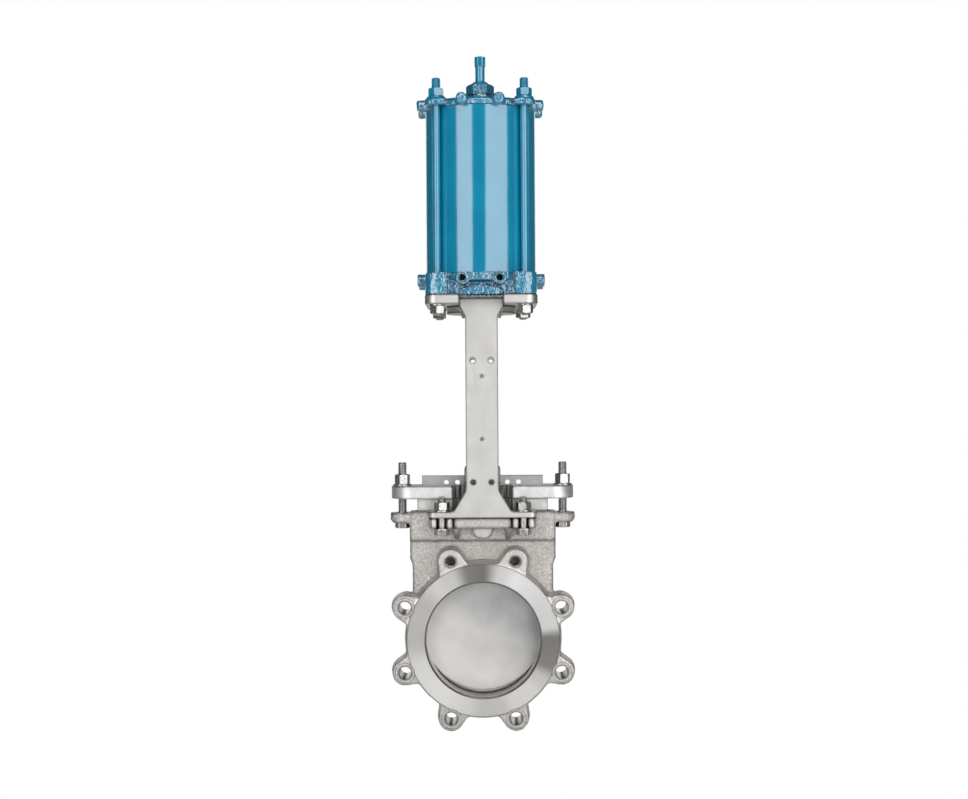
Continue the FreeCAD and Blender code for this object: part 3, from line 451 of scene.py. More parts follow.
def head_tools(z0, z1, seat_z):
    """Bores of a cylinder head: four tie rod holes, and the ring that seats the tube."""
    holes = [prism(circle(TIE_HOLE_R, 40), "Z", z0 - 8, z1 + 8, tie) for tie in TIES]
    low, high = seat_z
    seat = rectangle(SPIGOT_R, TUBE_SEAT_R, low, high)
    return [joined(holes), lathe(seat, "Z", (0, STEM_Y), 128)]


def spigot(root, end):
    """The disc on a cylinder head that centres the tube, from below its root to its end."""
    edge = end - math.copysign(1, end - root)
    profile = [(0, root), (SPIGOT_R, root), (SPIGOT_R, edge), (SPIGOT_R - 1, end), (0, end)]
    return lathe(profile, "Z", (0, STEM_Y), 128)


def bottom_head_skin():
    """The lower head, with a flat underside, the rod's bore and two air ports at the front."""
    z0, z1 = LOW_HEAD_Z
    top = z1 + SPIGOT_L
    front = STEM_Y - BOSS_REACH
    bosses = [(side * BOSS_X, LOW_BOSS_Z) for side in (-1, 1)]
    plugs = tie_plugs(z0, z1) + [prism(circle(ROD_RECESS_R), "Z", z0, z1, (0, STEM_Y))]
    plugs.append(prism(circle(SPIGOT_R), "Z", z1 - 3, z1 + 6, (0, STEM_Y)))
    plugs += [prism(circle(AIR_PORT_R + 2, 40), "Y", front, front + 40, boss) for boss in bosses]
    cuts = head_tools(z0, z1, (z1, top + 2))
    cuts.append(prism(circle(ROD_BORE_R), "Z", z0 - 20, top + 5, (0, STEM_Y)))
    wide, deep = BOSS_REACH - 2, BOSS_REACH + 10
    cuts.append(prism(rectangle(-wide, wide, STEM_Y - deep, STEM_Y + deep), "Z", z0 - 2, z0))
    port = circle(AIR_PORT_R, 40)
    span = (front - OVER, front + AIR_PORT_DEPTH)
    cuts.append(joined([prism(port, "Y", *span, boss) for boss in bosses]))
    adds = [spigot(z1 - 2, top)]
    return cast_skin("bottom_head_skin", "cylinder_bottom_head", HEAD_SURFACE, plugs, [], adds, cuts)


def top_head_skin():
    """The upper head, with the hub of the travel stop and one air port at its left side."""
    z0, z1 = HIGH_HEAD_Z
    low = z0 - SPIGOT_L
    hub_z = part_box("cylinder_top_head")[1].z / MM
    boss = (STEM_Y - BOSS_X, HIGH_BOSS_Z)
    plugs = tie_plugs(z0, z1) + [prism(circle(HUB_PLUG_R), "Z", z0, hub_z, (0, STEM_Y))]
    plugs.append(prism(circle(SPIGOT_R), "Z", z0 - 6, z0 + 3, (0, STEM_Y)))
    plugs.append(prism(circle(AIR_PORT_R + 2, 40), "X", -BOSS_REACH, -BOSS_REACH + 45, boss))
    cuts = head_tools(z0, z1, (low - 2, z0))
    socket_z = z1 - STOP_SOCKET_DEPTH
    stop = [(0, low - 2), (STOP_BORE_R, low - 2), (STOP_BORE_R, socket_z), (STOP_SOCKET_R, socket_z),
            (STOP_SOCKET_R, hub_z + OVER), (0, hub_z + OVER)]
    cuts.append(lathe(stop, "Z", (0, STEM_Y)))
    cuts.append(prism(circle(AIR_PORT_R, 40), "X", -BOSS_REACH - OVER, -BOSS_REACH + AIR_PORT_DEPTH, boss))
    adds = [spigot(z0 + 2, low)]
    return cast_skin("top_head_skin", "cylinder_top_head", HEAD_SURFACE, plugs, [], adds, cuts)


# ---- threads, welds ----

# Rings of points over one pitch, and thread depth over pitch of a bolt and of a tapped hole
THREAD_STEPS = 8
BOLT_THREAD = 0.61
HOLE_THREAD = 0.54


def thread_profile(phase):
    """Height of a 60 degree thread with flat crest and root, from 0 to 1 over one pitch."""
    return min(1.0, max(0.0, 1.5 - 4.0 * abs(phase - 0.5)))


def threaded_shape(crest, pitch, z0, z1, spans, centre=(0.0, 0.0), chamfer=1.6, sides=32):
    """An upright rod from z0 to z1, threaded over the given spans and plain between them."""
    depth = BOLT_THREAD * pitch
    heights = [z0, z0 + 0.01]
    for low, high in spans:
        count = int((high - low) / pitch * THREAD_STEPS)
        heights += [low + (high - low) * k / count for k in range(count + 1)]
    heights = sorted(set([round(h, 4) for h in heights] + [z1 - 0.01, z1]))
    verts = []
    for z in heights:
        cut = any(low <= z <= high for low, high in spans)
        limit = crest - max(0.0, chamfer - min(z - z0, z1 - z))
        for k in range(sides):
            turn = k / sides
            radius = crest
            if cut:
                radius -= depth * (1 - thread_profile((z / pitch - turn) % 1.0))
            radius = min(radius, limit)
            angle = 2 * math.pi * turn
            verts.append((centre[0] + radius * math.cos(angle), centre[1] + radius * math.sin(angle), z))
    return verts, capped(len(heights), sides)


def hex_shape(flats, z0, z1, centre, turn, low_edge=True, high_edge=True):
    """A hexagonal head whose corners are turned off in the usual curved chamfer."""
    sides = 96
    inner = flats / 2 * 0.965
    slope = math.tan(math.radians(30))
    verts = []
    steps = (0, 0.35, 0.8, 1.3, 1.9)
    rows = [z0 + step for step in steps] + [z1 - step for step in reversed(steps)]
    for z in rows:
        limit = flats
        if low_edge:
            limit = min(limit, inner + (z - z0) / slope)
        if high_edge:
            limit = min(limit, inner + (z1 - z) / slope)
        for k in range(sides):
            angle = 2 * math.pi * k / sides
            across = (angle + math.pi / 6) % (math.pi / 3) - math.pi / 6
            radius = min(flats / 2 / math.cos(across), limit, flats / math.sqrt(3) - 0.25)
            spin = angle + math.radians(turn)
            verts.append((centre[0] + radius * math.cos(spin), centre[1] + radius * math.sin(spin), z))
    return verts, capped(len(rows), sides)


def bead_shape(path, radius, ripple):
    """A weld bead along a straight path, with the ripples that welding leaves."""
    steps = 4
    ring = 12
    start, end = Vector(path[0]), Vector(path[1])
    along = (end - start).normalized()
    side = along.cross(Vector((0, 0, 1))).normalized()
    up = side.cross(along)
    count = int((end - start).length / ripple * steps)
    verts = []
    for i in range(count + 1):
        centre = start.lerp(end, i / count)
        swell = 1 + 0.10 * abs(math.sin(math.pi * i / steps)) + 0.06 * noise.noise(centre * 0.4)
        taper = min(1.0, 0.35 + 0.25 * min(i, count - i))
        for k in range(ring):
            angle = 2 * math.pi * k / ring
            verts.append(centre + (side * math.cos(angle) + up * math.sin(angle)) * radius * swell * taper)
    return [tuple(v) for v in verts], capped(count + 1, ring)


def sleeve_shape(outer, minor, pitch, start, end, centre):
    """An internally threaded lining along Y, from its mouth at start inwards to end."""
    sides = 40
    countersink = 1.4
    rows = int(abs(end - start) / pitch * THREAD_STEPS)
    verts = []
    for i in range(rows + 1):
        y = start + (end - start) * i / rows
        for k in range(sides):
            turn = k / sides
            depth = HOLE_THREAD * pitch * thread_profile((y / pitch - turn) % 1.0)
            mouth = max(0.0, countersink - abs(y - start))
            radius = min(minor + depth + mouth, outer - 0.02)
            angle = 2 * math.pi * turn
            verts.append((centre[0] + radius * math.cos(angle), y, centre[1] + radius * math.sin(angle)))
    last = len(verts)
    for y in (start, end):
        for u, v in circle(outer, sides):
            verts.append((centre[0] + u, y, centre[1] + v))
    faces = tube_faces(rows + 1, sides)
    for k in range(sides):
        after = (k + 1) % sides
        faces.append((k, after, last + after, last + k))
        faces.append((rows * sides + k, rows * sides + after, last + sides + after, last + sides + k))
        faces.append((last + k, last + after, last + sides + after, last + sides + k))
    return verts, faces


# ---- finishes ----

# Painted reflection of the turned face: its light and dark sectors round the clock, painted into its colour,
# seen from upstream: hour (18 is six o'clock again), grey, warmth
PAINTED_SHEEN = [(6, 0.77, 0.5), (18, 0.77, 0.5), (6.5, 0.93, 0.5), (7.2, 1.0, 0.2), (8.3, 1.0, 0.3), (9, 0.80, 0.6),
         (9.6, 0.80, 0.5), (10.1, 0.72, 0.6), (10.6, 0.82, 0.3), (11.1, 0.70, 0.2), (11.6, 0.25, 0.8),
         (12, 0.22, 1.0), (12.5, 0.78, 0.4), (13, 1.0, -0.2), (14.6, 1.0, 0.1), (14.95, 0.30, 0.8),
         (15.7, 0.30, 0.8), (16.1, 0.68, 0.6), (16.6, 0.82, 0.5), (17.1, 0.86, 0.5), (17.5, 0.76, 0.5)]


class Finish:
    """A Principled material driven by noise in the object's own coordinates, in metres."""

    def __init__(self, name, metallic, coat=0.0, coat_roughness=0.1):
        self.material = bpy.data.materials.new(name)
        self.material.use_nodes = True
        self.tree = self.material.node_tree
        self.shader = self.tree.nodes["Principled BSDF"]
        self.shader.inputs["Metallic"].default_value = metallic
        self.shader.inputs["Coat Weight"].default_value = coat
        self.shader.inputs["Coat Roughness"].default_value = coat_roughness
        self.place = self.tree.nodes.new("ShaderNodeTexCoord").outputs["Object"]
        self.bump_under = None

    def node(self, kind, **sockets):
        """A node of the given kind, with values or links for the sockets named."""
        made = self.tree.nodes.new(kind)
        for name, value in sockets.items():
            self.give(made.inputs[name.replace("_", " ")], value)
        return made

    def give(self, socket, value):
        """Link an output to the socket, or set the socket to a plain value."""
        if isinstance(value, bpy.types.NodeSocket):
            self.tree.links.new(value, socket)
        else:
            socket.default_value = value

    def grain(self, size, stretch=(1, 1, 1), detail=2.0, contrast=(0.35, 0.65)):
        """Noise from 0 to 1, with features of the given size in millimetres."""
        place = self.node("ShaderNodeMapping", Vector=self.place, Scale=stretch).outputs["Vector"]
        noise_node = self.node("ShaderNodeTexNoise", Vector=place, Scale=1 / (size * MM), Detail=detail)
        return self.ramp(noise_node.outputs["Fac"], contrast, (0.0, 1.0))

    def ramp(self, value, span, onto):
        """A value's span of numbers mapped onto another, and held at its ends."""
        ranged = self.node("ShaderNodeMapRange", Value=value)
        ranged.inputs["From Min"].default_value, ranged.inputs["From Max"].default_value = span
        ranged.inputs["To Min"].default_value, ranged.inputs["To Max"].default_value = onto
        return ranged.outputs["Result"]

    def maths(self, operation, first, second=0.0):
        """Output of a maths node."""
        made = self.tree.nodes.new("ShaderNodeMath")
        made.operation = operation
        self.give(made.inputs[0], first)
        self.give(made.inputs[1], second)
        return made.outputs[0]

    def mixed(self, amount, low, high, blend="MIX"):
        """Colour between low and high, or their blend."""
        made = self.tree.nodes.new("ShaderNodeMix")
        made.data_type = "RGBA"
        made.blend_type = blend
        self.give(made.inputs[0], amount)
        self.give(made.inputs[6], low)
        self.give(made.inputs[7], high)
        return made.outputs[2]

    def colour(self, amount, low, high):
        """Base colour between low and high."""
        self.give(self.shader.inputs["Base Color"], self.mixed(amount, (*low, 1), (*high, 1)))
        return self

    def unshaded_amount(self, reach, inside):
        """1 away from corners (or, from inside, away from outer edges), over a reach in millimetres; it sets
        where shade is painted into a colour.
        """
        corner = self.tree.nodes.new("ShaderNodeAmbientOcclusion")
        corner.samples = 6
        corner.inside = inside
        corner.inputs["Distance"].default_value = reach * MM
        return self.ramp(corner.outputs["AO"], (0.55, 0.93) if inside else (0.5, 0.88), (0, 1))

    def with_painted_shade(self, amount, low, high, reach, dark=0.35, edge=0.0):
        """Colour with shade painted into it: darker in the corners, and a painted dark outline on outer edges
        too when their reach is given.
        """
        bare = self.unshaded_amount(reach, False)
        if edge:
            bare = self.maths("MULTIPLY", bare, self.unshaded_amount(edge, True))
        bright = self.mixed(amount, (*low, 1), (*high, 1))
        shaded = tuple(dark * c for c in low)
        # Painted shade: the colour is mixed towards a darker copy where corners and edges lie in shade.
        self.give(self.shader.inputs["Base Color"], self.mixed(bare, (*shaded, 1), bright))
        return self

    def roughness(self, amount, low, high):
        """Roughness from low to high, as the amount goes from 0 to 1."""
        self.give(self.shader.inputs["Roughness"], self.ramp(amount, (0, 1), (low, high)))
        return self

    def bump(self, height, distance, strength=1.0):
        """Add a layer of bump. distance is its depth in millimetres."""
        layer = self.node("ShaderNodeBump", Height=height, Strength=strength, Distance=distance * MM)
        if self.bump_under is not None:
            self.tree.links.new(self.bump_under, layer.inputs["Normal"])
        self.bump_under = layer.outputs["Normal"]
        self.tree.links.new(self.bump_under, self.shader.inputs["Normal"])
        self.tree.links.new(self.bump_under, self.shader.inputs["Coat Normal"])
        return self

    def ring(self, ramp, stops):
        """Set a colour ramp to (hour, grey, warmth) stops, from six o'clock round to six o'clock."""
        ramp.interpolation = "EASE"
        spare = [ramp.elements[0], ramp.elements[1]]
        for hour, grey, warmth in stops:
            at = ((hour - 6) % 12) / 12 if hour != 18 else 1.0
            element = spare.pop(0) if spare else ramp.elements.new(at)
            element.position = at
            element.color = (grey, grey * (1 - 0.03 * warmth), grey * (1 - 0.07 * warmth), 1)

    def axes(self):
        """The object's own X, Y and Z, in metres."""
        split = self.node("ShaderNodeSeparateXYZ", Vector=self.place)
        return split.outputs["X"], split.outputs["Y"], split.outputs["Z"]


def cast_steel():
    """Blasted casting: mottled and finely pitted, with painted shade in its corners and painted dark outlines
    along its edges.
    """
    f = Finish("cast_stainless", 1.0)
    patch = f.grain(22, detail=3)
    speck = f.grain(3.0, detail=3, contrast=(0.3, 0.7))
    mottle = f.maths("MULTIPLY", f.maths("ADD", f.maths("MULTIPLY", patch, 0.35), 0.65), speck)
    # Painted shade in the corners and painted dark outlines on the edges.
    f.with_painted_shade(mottle, (0.50, 0.475, 0.455), (0.88, 0.845, 0.81), 6, 0.05, 6.0)
    f.roughness(speck, 0.38, 0.56)
    f.bump(f.grain(3.4, detail=4, contrast=(0.25, 0.75)), 1.1).bump(f.grain(1.0, detail=2), 0.25)
    return f.material


def plate_steel():
    """Rolled plate, brushed upwards, with painted shade in its corners and thin painted dark outlines on its
    edges.
    """
    f = Finish("plate_stainless", 1.0)
    brushed = f.grain(2.2, (1, 1, 0.06), 3)
    patch = f.grain(45, detail=3)
    # Painted shade in the corners and painted dark outlines on the edges.
    f.with_painted_shade(patch, (0.68, 0.67, 0.645), (0.75, 0.745, 0.72), 6, 0.12, 3.2)
    f.roughness(brushed, 0.40, 0.46)
    f.bump(brushed, 0.004).bump(f.grain(9, detail=2), 0.010)
    return f.material


def turned_steel():
    """Faces turned about the port's axis, with the light and dark sectors of their reflection painted into
    the colour, and a dark band painted as shade at the outer edge.
    """
    f = Finish("turned_stainless", 1.0)
    x, _, z = f.axes()
    radius = f.maths("SQRT", f.maths("ADD", f.maths("MULTIPLY", x, x), f.maths("MULTIPLY", z, z)))
    groove = f.maths("SINE", f.maths("MULTIPLY", radius, 2 * math.pi / (0.8 * MM)))
    turn = f.ramp(f.maths("ARCTAN2", x, z), (-math.pi, math.pi), (0, 1))
    # Painted reflection: light and dark sectors round the port's axis, by angle.
    painted_sheen_ramp = f.tree.nodes.new("ShaderNodeValToRGB")
    f.give(painted_sheen_ramp.inputs[0], turn)
    f.ring(painted_sheen_ramp.color_ramp, PAINTED_SHEEN)
    band = f.node("ShaderNodeCombineXYZ", X=radius)
    rings = f.node("ShaderNodeTexNoise", Vector=band.outputs[0], Scale=700.0, Detail=3.0)
    ringed = f.ramp(rings.outputs["Fac"], (0.3, 0.7), (0, 1))
    shade = f.mixed(ringed, (0.84, 0.835, 0.825, 1), (1.0, 0.995, 0.985, 1))
    face = f.mixed(1.0, painted_sheen_ramp.outputs[0], shade, "MULTIPLY")
    # Painted shade: a dark band along the outer edge of the turned face.
    rim = f.ramp(radius, ((RAISED_R - 2.4) * MM, (RAISED_R - 0.4) * MM), (0, 0.75))
    f.give(f.shader.inputs["Base Color"], f.mixed(rim, face, (0.08, 0.075, 0.07, 1)))
    f.roughness(ringed, 0.33, 0.39)
    f.shader.inputs["Anisotropic"].default_value = 0.6
    tangent = f.node("ShaderNodeCombineXYZ", X=z, Y=0.0, Z=f.maths("MULTIPLY", x, -1.0))
    f.tree.links.new(tangent.outputs[0], f.shader.inputs["Tangent"])
    f.bump(groove, 0.008, 0.6)
    return f.material


def machined_steel():
    """Milled faces of the casting, with its grain left a little in view, and painted shade in its corners and
    along its edges.
    """
    f = Finish("machined_stainless", 1.0)
    # Painted shade in the corners and painted dark outlines on the edges.
    f.with_painted_shade(f.grain(2.6, detail=3), (0.60, 0.58, 0.555), (0.80, 0.778, 0.752), 5, 0.10, 5.0)
    f.roughness(f.grain(5, detail=3), 0.38, 0.48)
    f.bump(f.grain(2.2, detail=3), 0.10)
    return f.material


def gland_steel():
    """Bright faces outside with painted shade in their corners and along their edges, and the notch behind
    each leg painted dark as shade, its colour streaked and its faces rougher.
    """
    f = Finish("gland_stainless", 1.0)
    x, y, _ = f.axes()
    inside = f.maths("LESS_THAN", f.maths("ABSOLUTE", x), (NOTCH_HALF + 0.6) * MM)
    behind = f.maths("LESS_THAN", f.maths("ABSOLUTE", f.maths("SUBTRACT", y, STEM_Y * MM)), NOTCH_REACH * MM)
    notch = f.maths("MULTIPLY", inside, behind)
    # Painted shade: the notch behind each leg is coloured near black, as it lies in shade.
    notch_painted_shade = f.mixed(f.grain(2.4, (1, 1, 0.05), 3), (0.06, 0.057, 0.053, 1), (0.42, 0.41, 0.39, 1))
    bright = f.mixed(f.grain(14, detail=3), (0.74, 0.735, 0.725, 1), (0.88, 0.875, 0.865, 1))
    # Painted shade in the corners and painted dark outlines along the outer edges.
    bare = f.maths("MULTIPLY", f.unshaded_amount(5, False), f.unshaded_amount(3.6, True))
    outer = f.mixed(bare, (0.08, 0.077, 0.073, 1), bright)
    f.give(f.shader.inputs["Base Color"], f.mixed(notch, outer, notch_painted_shade))
    f.roughness(notch, 0.47, 0.60)
    f.bump(f.grain(0.8, (1, 1, 6), 2), 0.004)
    return f.material


def gate_steel():
    """Ground plate, with a painted reflection: warm and light low down, darker and cooler towards its upper
    right.
    """
    f = Finish("gate_stainless", 1.0)
    x, _, z = f.axes()
    ground = f.grain(0.9, (1, 1, 0.4), 3)
    # Painted reflection: the colour is lighter and warmer low down, darker and cooler up and to the right.
    slope = f.maths("ADD", f.maths("MULTIPLY", z, 0.8), f.maths("MULTIPLY", x, 0.55))
    patch = f.maths("MULTIPLY", f.grain(55, detail=3), 0.2)
    painted_reflection = f.maths("ADD", f.ramp(slope, (-0.06, 0.06), (0, 0.8)), patch)
    f.colour(painted_reflection, (0.98, 0.95, 0.92), (0.40, 0.405, 0.41))
    f.roughness(ground, 0.38, 0.50)
    f.bump(ground, 0.015).bump(f.grain(18, detail=2), 0.02)
    return f.material


def fastener_steel():
    """Bright cold-formed heads, nuts and washers."""
    f = Finish("fastener_steel", 1.0)
    f.colour(f.grain(5, detail=3), (0.42, 0.41, 0.395), (0.60, 0.595, 0.585))
    f.roughness(f.grain(3, detail=3), 0.22, 0.34)
    f.bump(f.grain(1.4, detail=2), 0.010)
    return f.material


def stud_steel():
    """Shanks and threads, duller than the heads."""
    f = Finish("stud_steel", 1.0)
    f.colour(f.grain(4, detail=3), (0.38, 0.365, 0.35), (0.60, 0.585, 0.565))
    f.roughness(f.grain(3, detail=3), 0.32, 0.46)
    f.bump(f.grain(1.4, detail=2), 0.02)
    return f.material


def bore_steel():
    """Bored walls, with streaks along the bore from the tool, their colour darkened as painted shade."""
    f = Finish("bore_stainless", 1.0)
    # Painted shade: the colour is kept dark, as the bores lie in shade.
    f.colour(f.grain(6, (1, 8, 1), 3), (0.30, 0.29, 0.275), (0.44, 0.43, 0.41))
    f.roughness(f.grain(3, detail=3), 0.30, 0.42)
    f.bump(f.grain(0.9, (1, 6, 1), 2), 0.01)
    return f.material


def blue_gloss():
    """Smooth blue gloss paint, with the slight waviness of a sprayed coat."""
    f = Finish("blue_paint", 0.0, 1.0, 0.12)
    f.shader.inputs["Coat IOR"].default_value = 2.12
    f.shader.inputs["Specular IOR Level"].default_value = 0.0
    f.colour(f.grain(60, detail=3), (0.0, 0.235, 0.40), (0.0, 0.265, 0.44))
    f.roughness(f.grain(8, detail=3), 0.24, 0.34)
    f.bump(f.grain(2.4, detail=1), 0.003).bump(f.grain(30, detail=1), 0.04)
    return f.material


def blue_cast():
    """The same blue over rough castings, where the grain breaks up the gloss, with painted shade in the
    corners and painted dark outlines along the edges.
    """
    f = Finish("blue_paint_cast", 0.0, 1.0, 0.04)
    f.shader.inputs["Coat IOR"].default_value = 2.5
    f.shader.inputs["Specular IOR Level"].default_value = 0.2
    # Painted shade in the corners and painted dark outlines on the edges.
    f.with_painted_shade(f.grain(7, detail=3), (0.0, 0.19, 0.34), (0.0, 0.27, 0.45), 7, 0.3, 4.5)
    f.roughness(f.grain(3, detail=3), 0.20, 0.40)
    f.bump(f.grain(7, detail=2, contrast=(0.3, 0.7)), 0.60).bump(f.grain(3.5, detail=1), 0.10)
    return f.material


def plain(name, metallic, low, high, rough, size, depth, coat=0.0):
    """A finish that needs nothing of its own, with a coat of gloss if it is given."""
    f = Finish(name, metallic, coat)
    f.colour(f.grain(size * 6, detail=3), low, high)
    f.roughness(f.grain(size * 2, detail=2), rough - 0.06, rough + 0.06)
    f.bump(f.grain(size, detail=2), depth)
    return f.material


def braid():
    """Plaited packing cord."""
    f = Finish("packing_braid", 0.0)
    weave = f.node("ShaderNodeTexWave", Vector=f.place, Scale=90.0, Distortion=1.5)
    f.colour(weave.outputs["Fac"], (0.50, 0.49, 0.44), (0.72, 0.71, 0.66))
    f.roughness(f.grain(2), 0.6, 0.8)
    f.bump(weave.outputs["Fac"], 0.35)
    return f.material


# Plain finishes: metallic, darkest and lightest colour, roughness, grain and bump depth in millimetres
PLAIN = {
    "aluminium": (1.0, (0.62, 0.63, 0.64), (0.72, 0.73, 0.74), 0.34, 1.5, 0.02),
    "bronze": (1.0, (0.55, 0.33, 0.14), (0.66, 0.42, 0.19), 0.34, 1.5, 0.02),
    "black_rubber": (0.0, (0.014, 0.014, 0.015), (0.03, 0.03, 0.032), 0.62, 1.2, 0.04),
    "seat_polymer": (0.0, (0.62, 0.60, 0.54), (0.72, 0.70, 0.64), 0.46, 1.5, 0.02, 0.1),
    # Near black, painted as the shade inside the air ports
    "air_port_shade": (0.0, (0.008, 0.009, 0.010), (0.02, 0.021, 0.022), 0.6, 1.2, 0.03),
}


def finishes():
    """Every material by name. All of the record's material slots are among them."""
    made = {name: plain(name, *look) for name, look in PLAIN.items()}
    made["cast_stainless"] = cast_steel()
    made["plate_stainless"] = plate_steel()
    made["turned_stainless"] = turned_steel()
    made["machined_stainless"] = machined_steel()
    made["bore_stainless"] = bore_steel()
    made["gland_stainless"] = gland_steel()
    made["gate_stainless"] = gate_steel()
    made["fastener_steel"] = fastener_steel()
    made["stud_steel"] = stud_steel()
    made["blue_paint"] = blue_gloss()
    made["blue_paint_cast"] = blue_cast()
    made["packing_braid"] = braid()
    return made


def paint(ob, *materials):
    """Give an object these materials in place of its own."""
    ob.data.materials.clear()
    for material in materials:
        ob.data.materials.append(material)


def eased(node, width, segments=2):
    """Break the sharp edges of a CAD node by a small bevel."""
    weld = node.modifiers.new("weld", "WELD")
    weld.merge_threshold = 1e-6
    bevel = node.modifiers.new("bevel", "BEVEL")
    bevel.width = width * MM
    bevel.segments = segments
    bevel.limit_method = "ANGLE"
    bevel.angle_limit = math.radians(35)
    even = node.modifiers.new("normals", "WEIGHTED_NORMAL")
    even.keep_sharp = False


def piece(name, shapes, body, materials, replaced=()):
    """A new piece of the valve from closed shapes, riding on a body."""
    ob = object_of(name, mesh_of(name, joined(shapes)))
    smoothed(ob)
    return mounted(ob, body, materials, replaced)


def mounted(ob, body, materials, replaced=()):
    """Paint a piece, let it ride on a body, and hide the CAD nodes that it replaces."""
    paint(ob, *materials)
    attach(ob, body)
    if replaced:
        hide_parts(*replaced)
    return ob


def face_table(mesh):
    """Middle points and normals of the faces, in millimetres."""
    count = len(mesh.polygons)
    middles = np.zeros(count * 3)
    normals = np.zeros(count * 3)
    mesh.polygons.foreach_get("center", middles)
    mesh.polygons.foreach_get("normal", normals)
    return middles.reshape(-1, 3) / MM, normals.reshape(-1, 3)


def mark_faces(mesh, chosen, index):
    """Give the chosen faces the material at index."""
    indices = np.zeros(len(mesh.polygons), dtype=np.int32)
    mesh.polygons.foreach_get("material_index", indices)
    indices[chosen] = index
    mesh.polygons.foreach_set("material_index", indices)
    mesh.update()


# ---- the valve ----


def dress_nodes(made):
    """Finish of every CAD node by its record slot, and eased edges on the plates and fasteners."""
    slots = {s["node"]: s["material_slot"] for s in frame["record"]["subparts"]}
    for name, node in NODES.items():
        paint(node, made[slots[name]])
    paint(NODES["packing_gland"], made["gland_stainless"])
    paint(NODES["stop_gland"], made["blue_paint_cast"])
    nuts = ("gland_nuts", "yoke_nuts", "tie_rod_top_nuts", "tie_rod_bottom_nuts", "stem_jam_nut",
            "stop_gland")
    small = ("gland_washers", "yoke_washers", "tie_rod_bottom_washers", "stop_screw")
    plates = ("yoke_leg_front", "yoke_leg_rear", "yoke_top_plate", "rod_gland_retainer", "clevis")
    for names, width in ((nuts, 0.6), (small, 0.4), (plates, 0.7), (("cylinder_tube",), 0.5)):
        for name in names:
            eased(NODES[name], width)
    eased(NODES["packing_gland"], 1.2, 3)


def body(made):
    """The casting's skin, with its turned, machined and bored faces marked."""
    ob = body_skin()
    mesh = ob.data
    names = ("cast_stainless", "turned_stainless", "machined_stainless", "bore_stainless")
    mounted(ob, "valve", [made[name] for name in names], ["body_casting"])
    turned, machined, bored = 1, 2, 3
    middles, normals = face_table(mesh)
    x, y, z = middles.T
    radius = np.hypot(x, z)
    facing = np.abs(normals[:, 1]) > 0.9
    lugs = (np.abs(y) > LUG_FACE_Y - 1.0) & (radius > RAISED_R) & (z < CAVITY_Z + OVER)
    mark_faces(mesh, facing & lugs, machined)
    # The port's walls take the bore finish, whose darker colour is painted shade.
    port = (radius < SEAT_R + 0.1) & ~((y > SLOT_Y[0] + 0.01) & (y < SLOT_Y[1] - 0.01))
    mark_faces(mesh, port, bored)
    mark_faces(mesh, facing & (radius < RAISED_R + 0.2) & (np.abs(y) > FACE_Y - 0.45), turned)
    for a, b in lug_centres():
        mark_faces(mesh, ~facing & (np.hypot(x - a, z - b) < LUG_HOLE_R + 0.1), bored)
    for a, b in EARS:
        mark_faces(mesh, np.hypot(x - a, y - b) < EAR_HOLE_R + 0.1, bored)
    pad = facing & (np.abs(x) < PAD_HALF) & (np.abs(y - STEM_Y) > PAD_REACH)
    mark_faces(mesh, pad & (z > PAD_Z) & (z < LEDGE_Z[0]), machined)
    level = (z > LEDGE_Z[0] - 1) & (z < LEDGE_Z[1] + 1)
    prongs = level & (np.abs(x) > LEDGE_BLOCK_HALF + 2) & (np.abs(y - STEM_Y) > YOKE_BOLT_REACH + OVER)
    mark_faces(mesh, prongs, machined)


def heads(made):
    """Both cylinder heads, with the walls of the air ports painted near black as shade."""
    low, high = bottom_head_skin(), top_head_skin()
    for ob, node in ((low, "cylinder_bottom_head"), (high, "cylinder_top_head")):
        mounted(ob, "valve", [made["blue_paint_cast"], made["air_port_shade"]], [node])
    reach = BOSS_REACH - AIR_PORT_DEPTH - 1
    x, y, z = face_table(low.data)[0].T
    inside = np.hypot(np.abs(x) - BOSS_X, z - LOW_BOSS_Z) < AIR_PORT_R + 0.1
    # Painted shade: the air port walls take the near-black finish.
    mark_faces(low.data, inside & (y < STEM_Y - reach), 1)
    x, y, z = face_table(high.data)[0].T
    inside = np.hypot(y - STEM_Y + BOSS_X, z - HIGH_BOSS_Z) < AIR_PORT_R + 0.1
    mark_faces(high.data, inside & (x < -reach), 1)


def hex_bolts(name, node, places, seat_z, thread_z, chamfer, made):
    """Bolts with a hexagonal head below seat_z, and a thread from thread_z to their ends."""
    low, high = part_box(node)
    head_z, end_z = low.z / MM, high.z / MM
    shapes = []
    for place in places:
        shapes.append(hex_shape(BOLT_FLATS, head_z, seat_z, place, 30, True, False))
        spans = [(thread_z, end_z)]
        shapes.append(threaded_shape(BOLT_R, BOLT_PITCH, seat_z - 1, end_z, spans, place, chamfer))
    steels = [made["stud_steel"], made["fastener_steel"]]
    ob = piece(name, shapes, "valve", steels, [node])
    mark_faces(ob.data, face_table(ob.data)[0][:, 2] < seat_z - 0.1, 1)


def tie_rods(made):
    """The tie rods: bare threaded feet, and painted shanks with a thread at the top."""
    low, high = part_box("tie_rods")
    foot_z, top_z = low.z / MM, high.z / MM
    split = LOW_HEAD_Z[0] - 8
    feet = ("tie_rod_feet", foot_z, split, (foot_z, split - 2), "stud_steel", "fastener_steel")
    shanks = ("tie_rod_shanks", split, top_z, (HIGH_HEAD_Z[1] - 8, top_z), "blue_paint", "blue_paint")
    for name, z0, z1, span, finish, slot_name in (feet, shanks):
        shapes = [threaded_shape(BOLT_R, BOLT_PITCH, z0, z1, [span], tie, 2.0) for tie in TIES]
        piece(name, shapes, "valve", [made[finish]], ["tie_rods"])


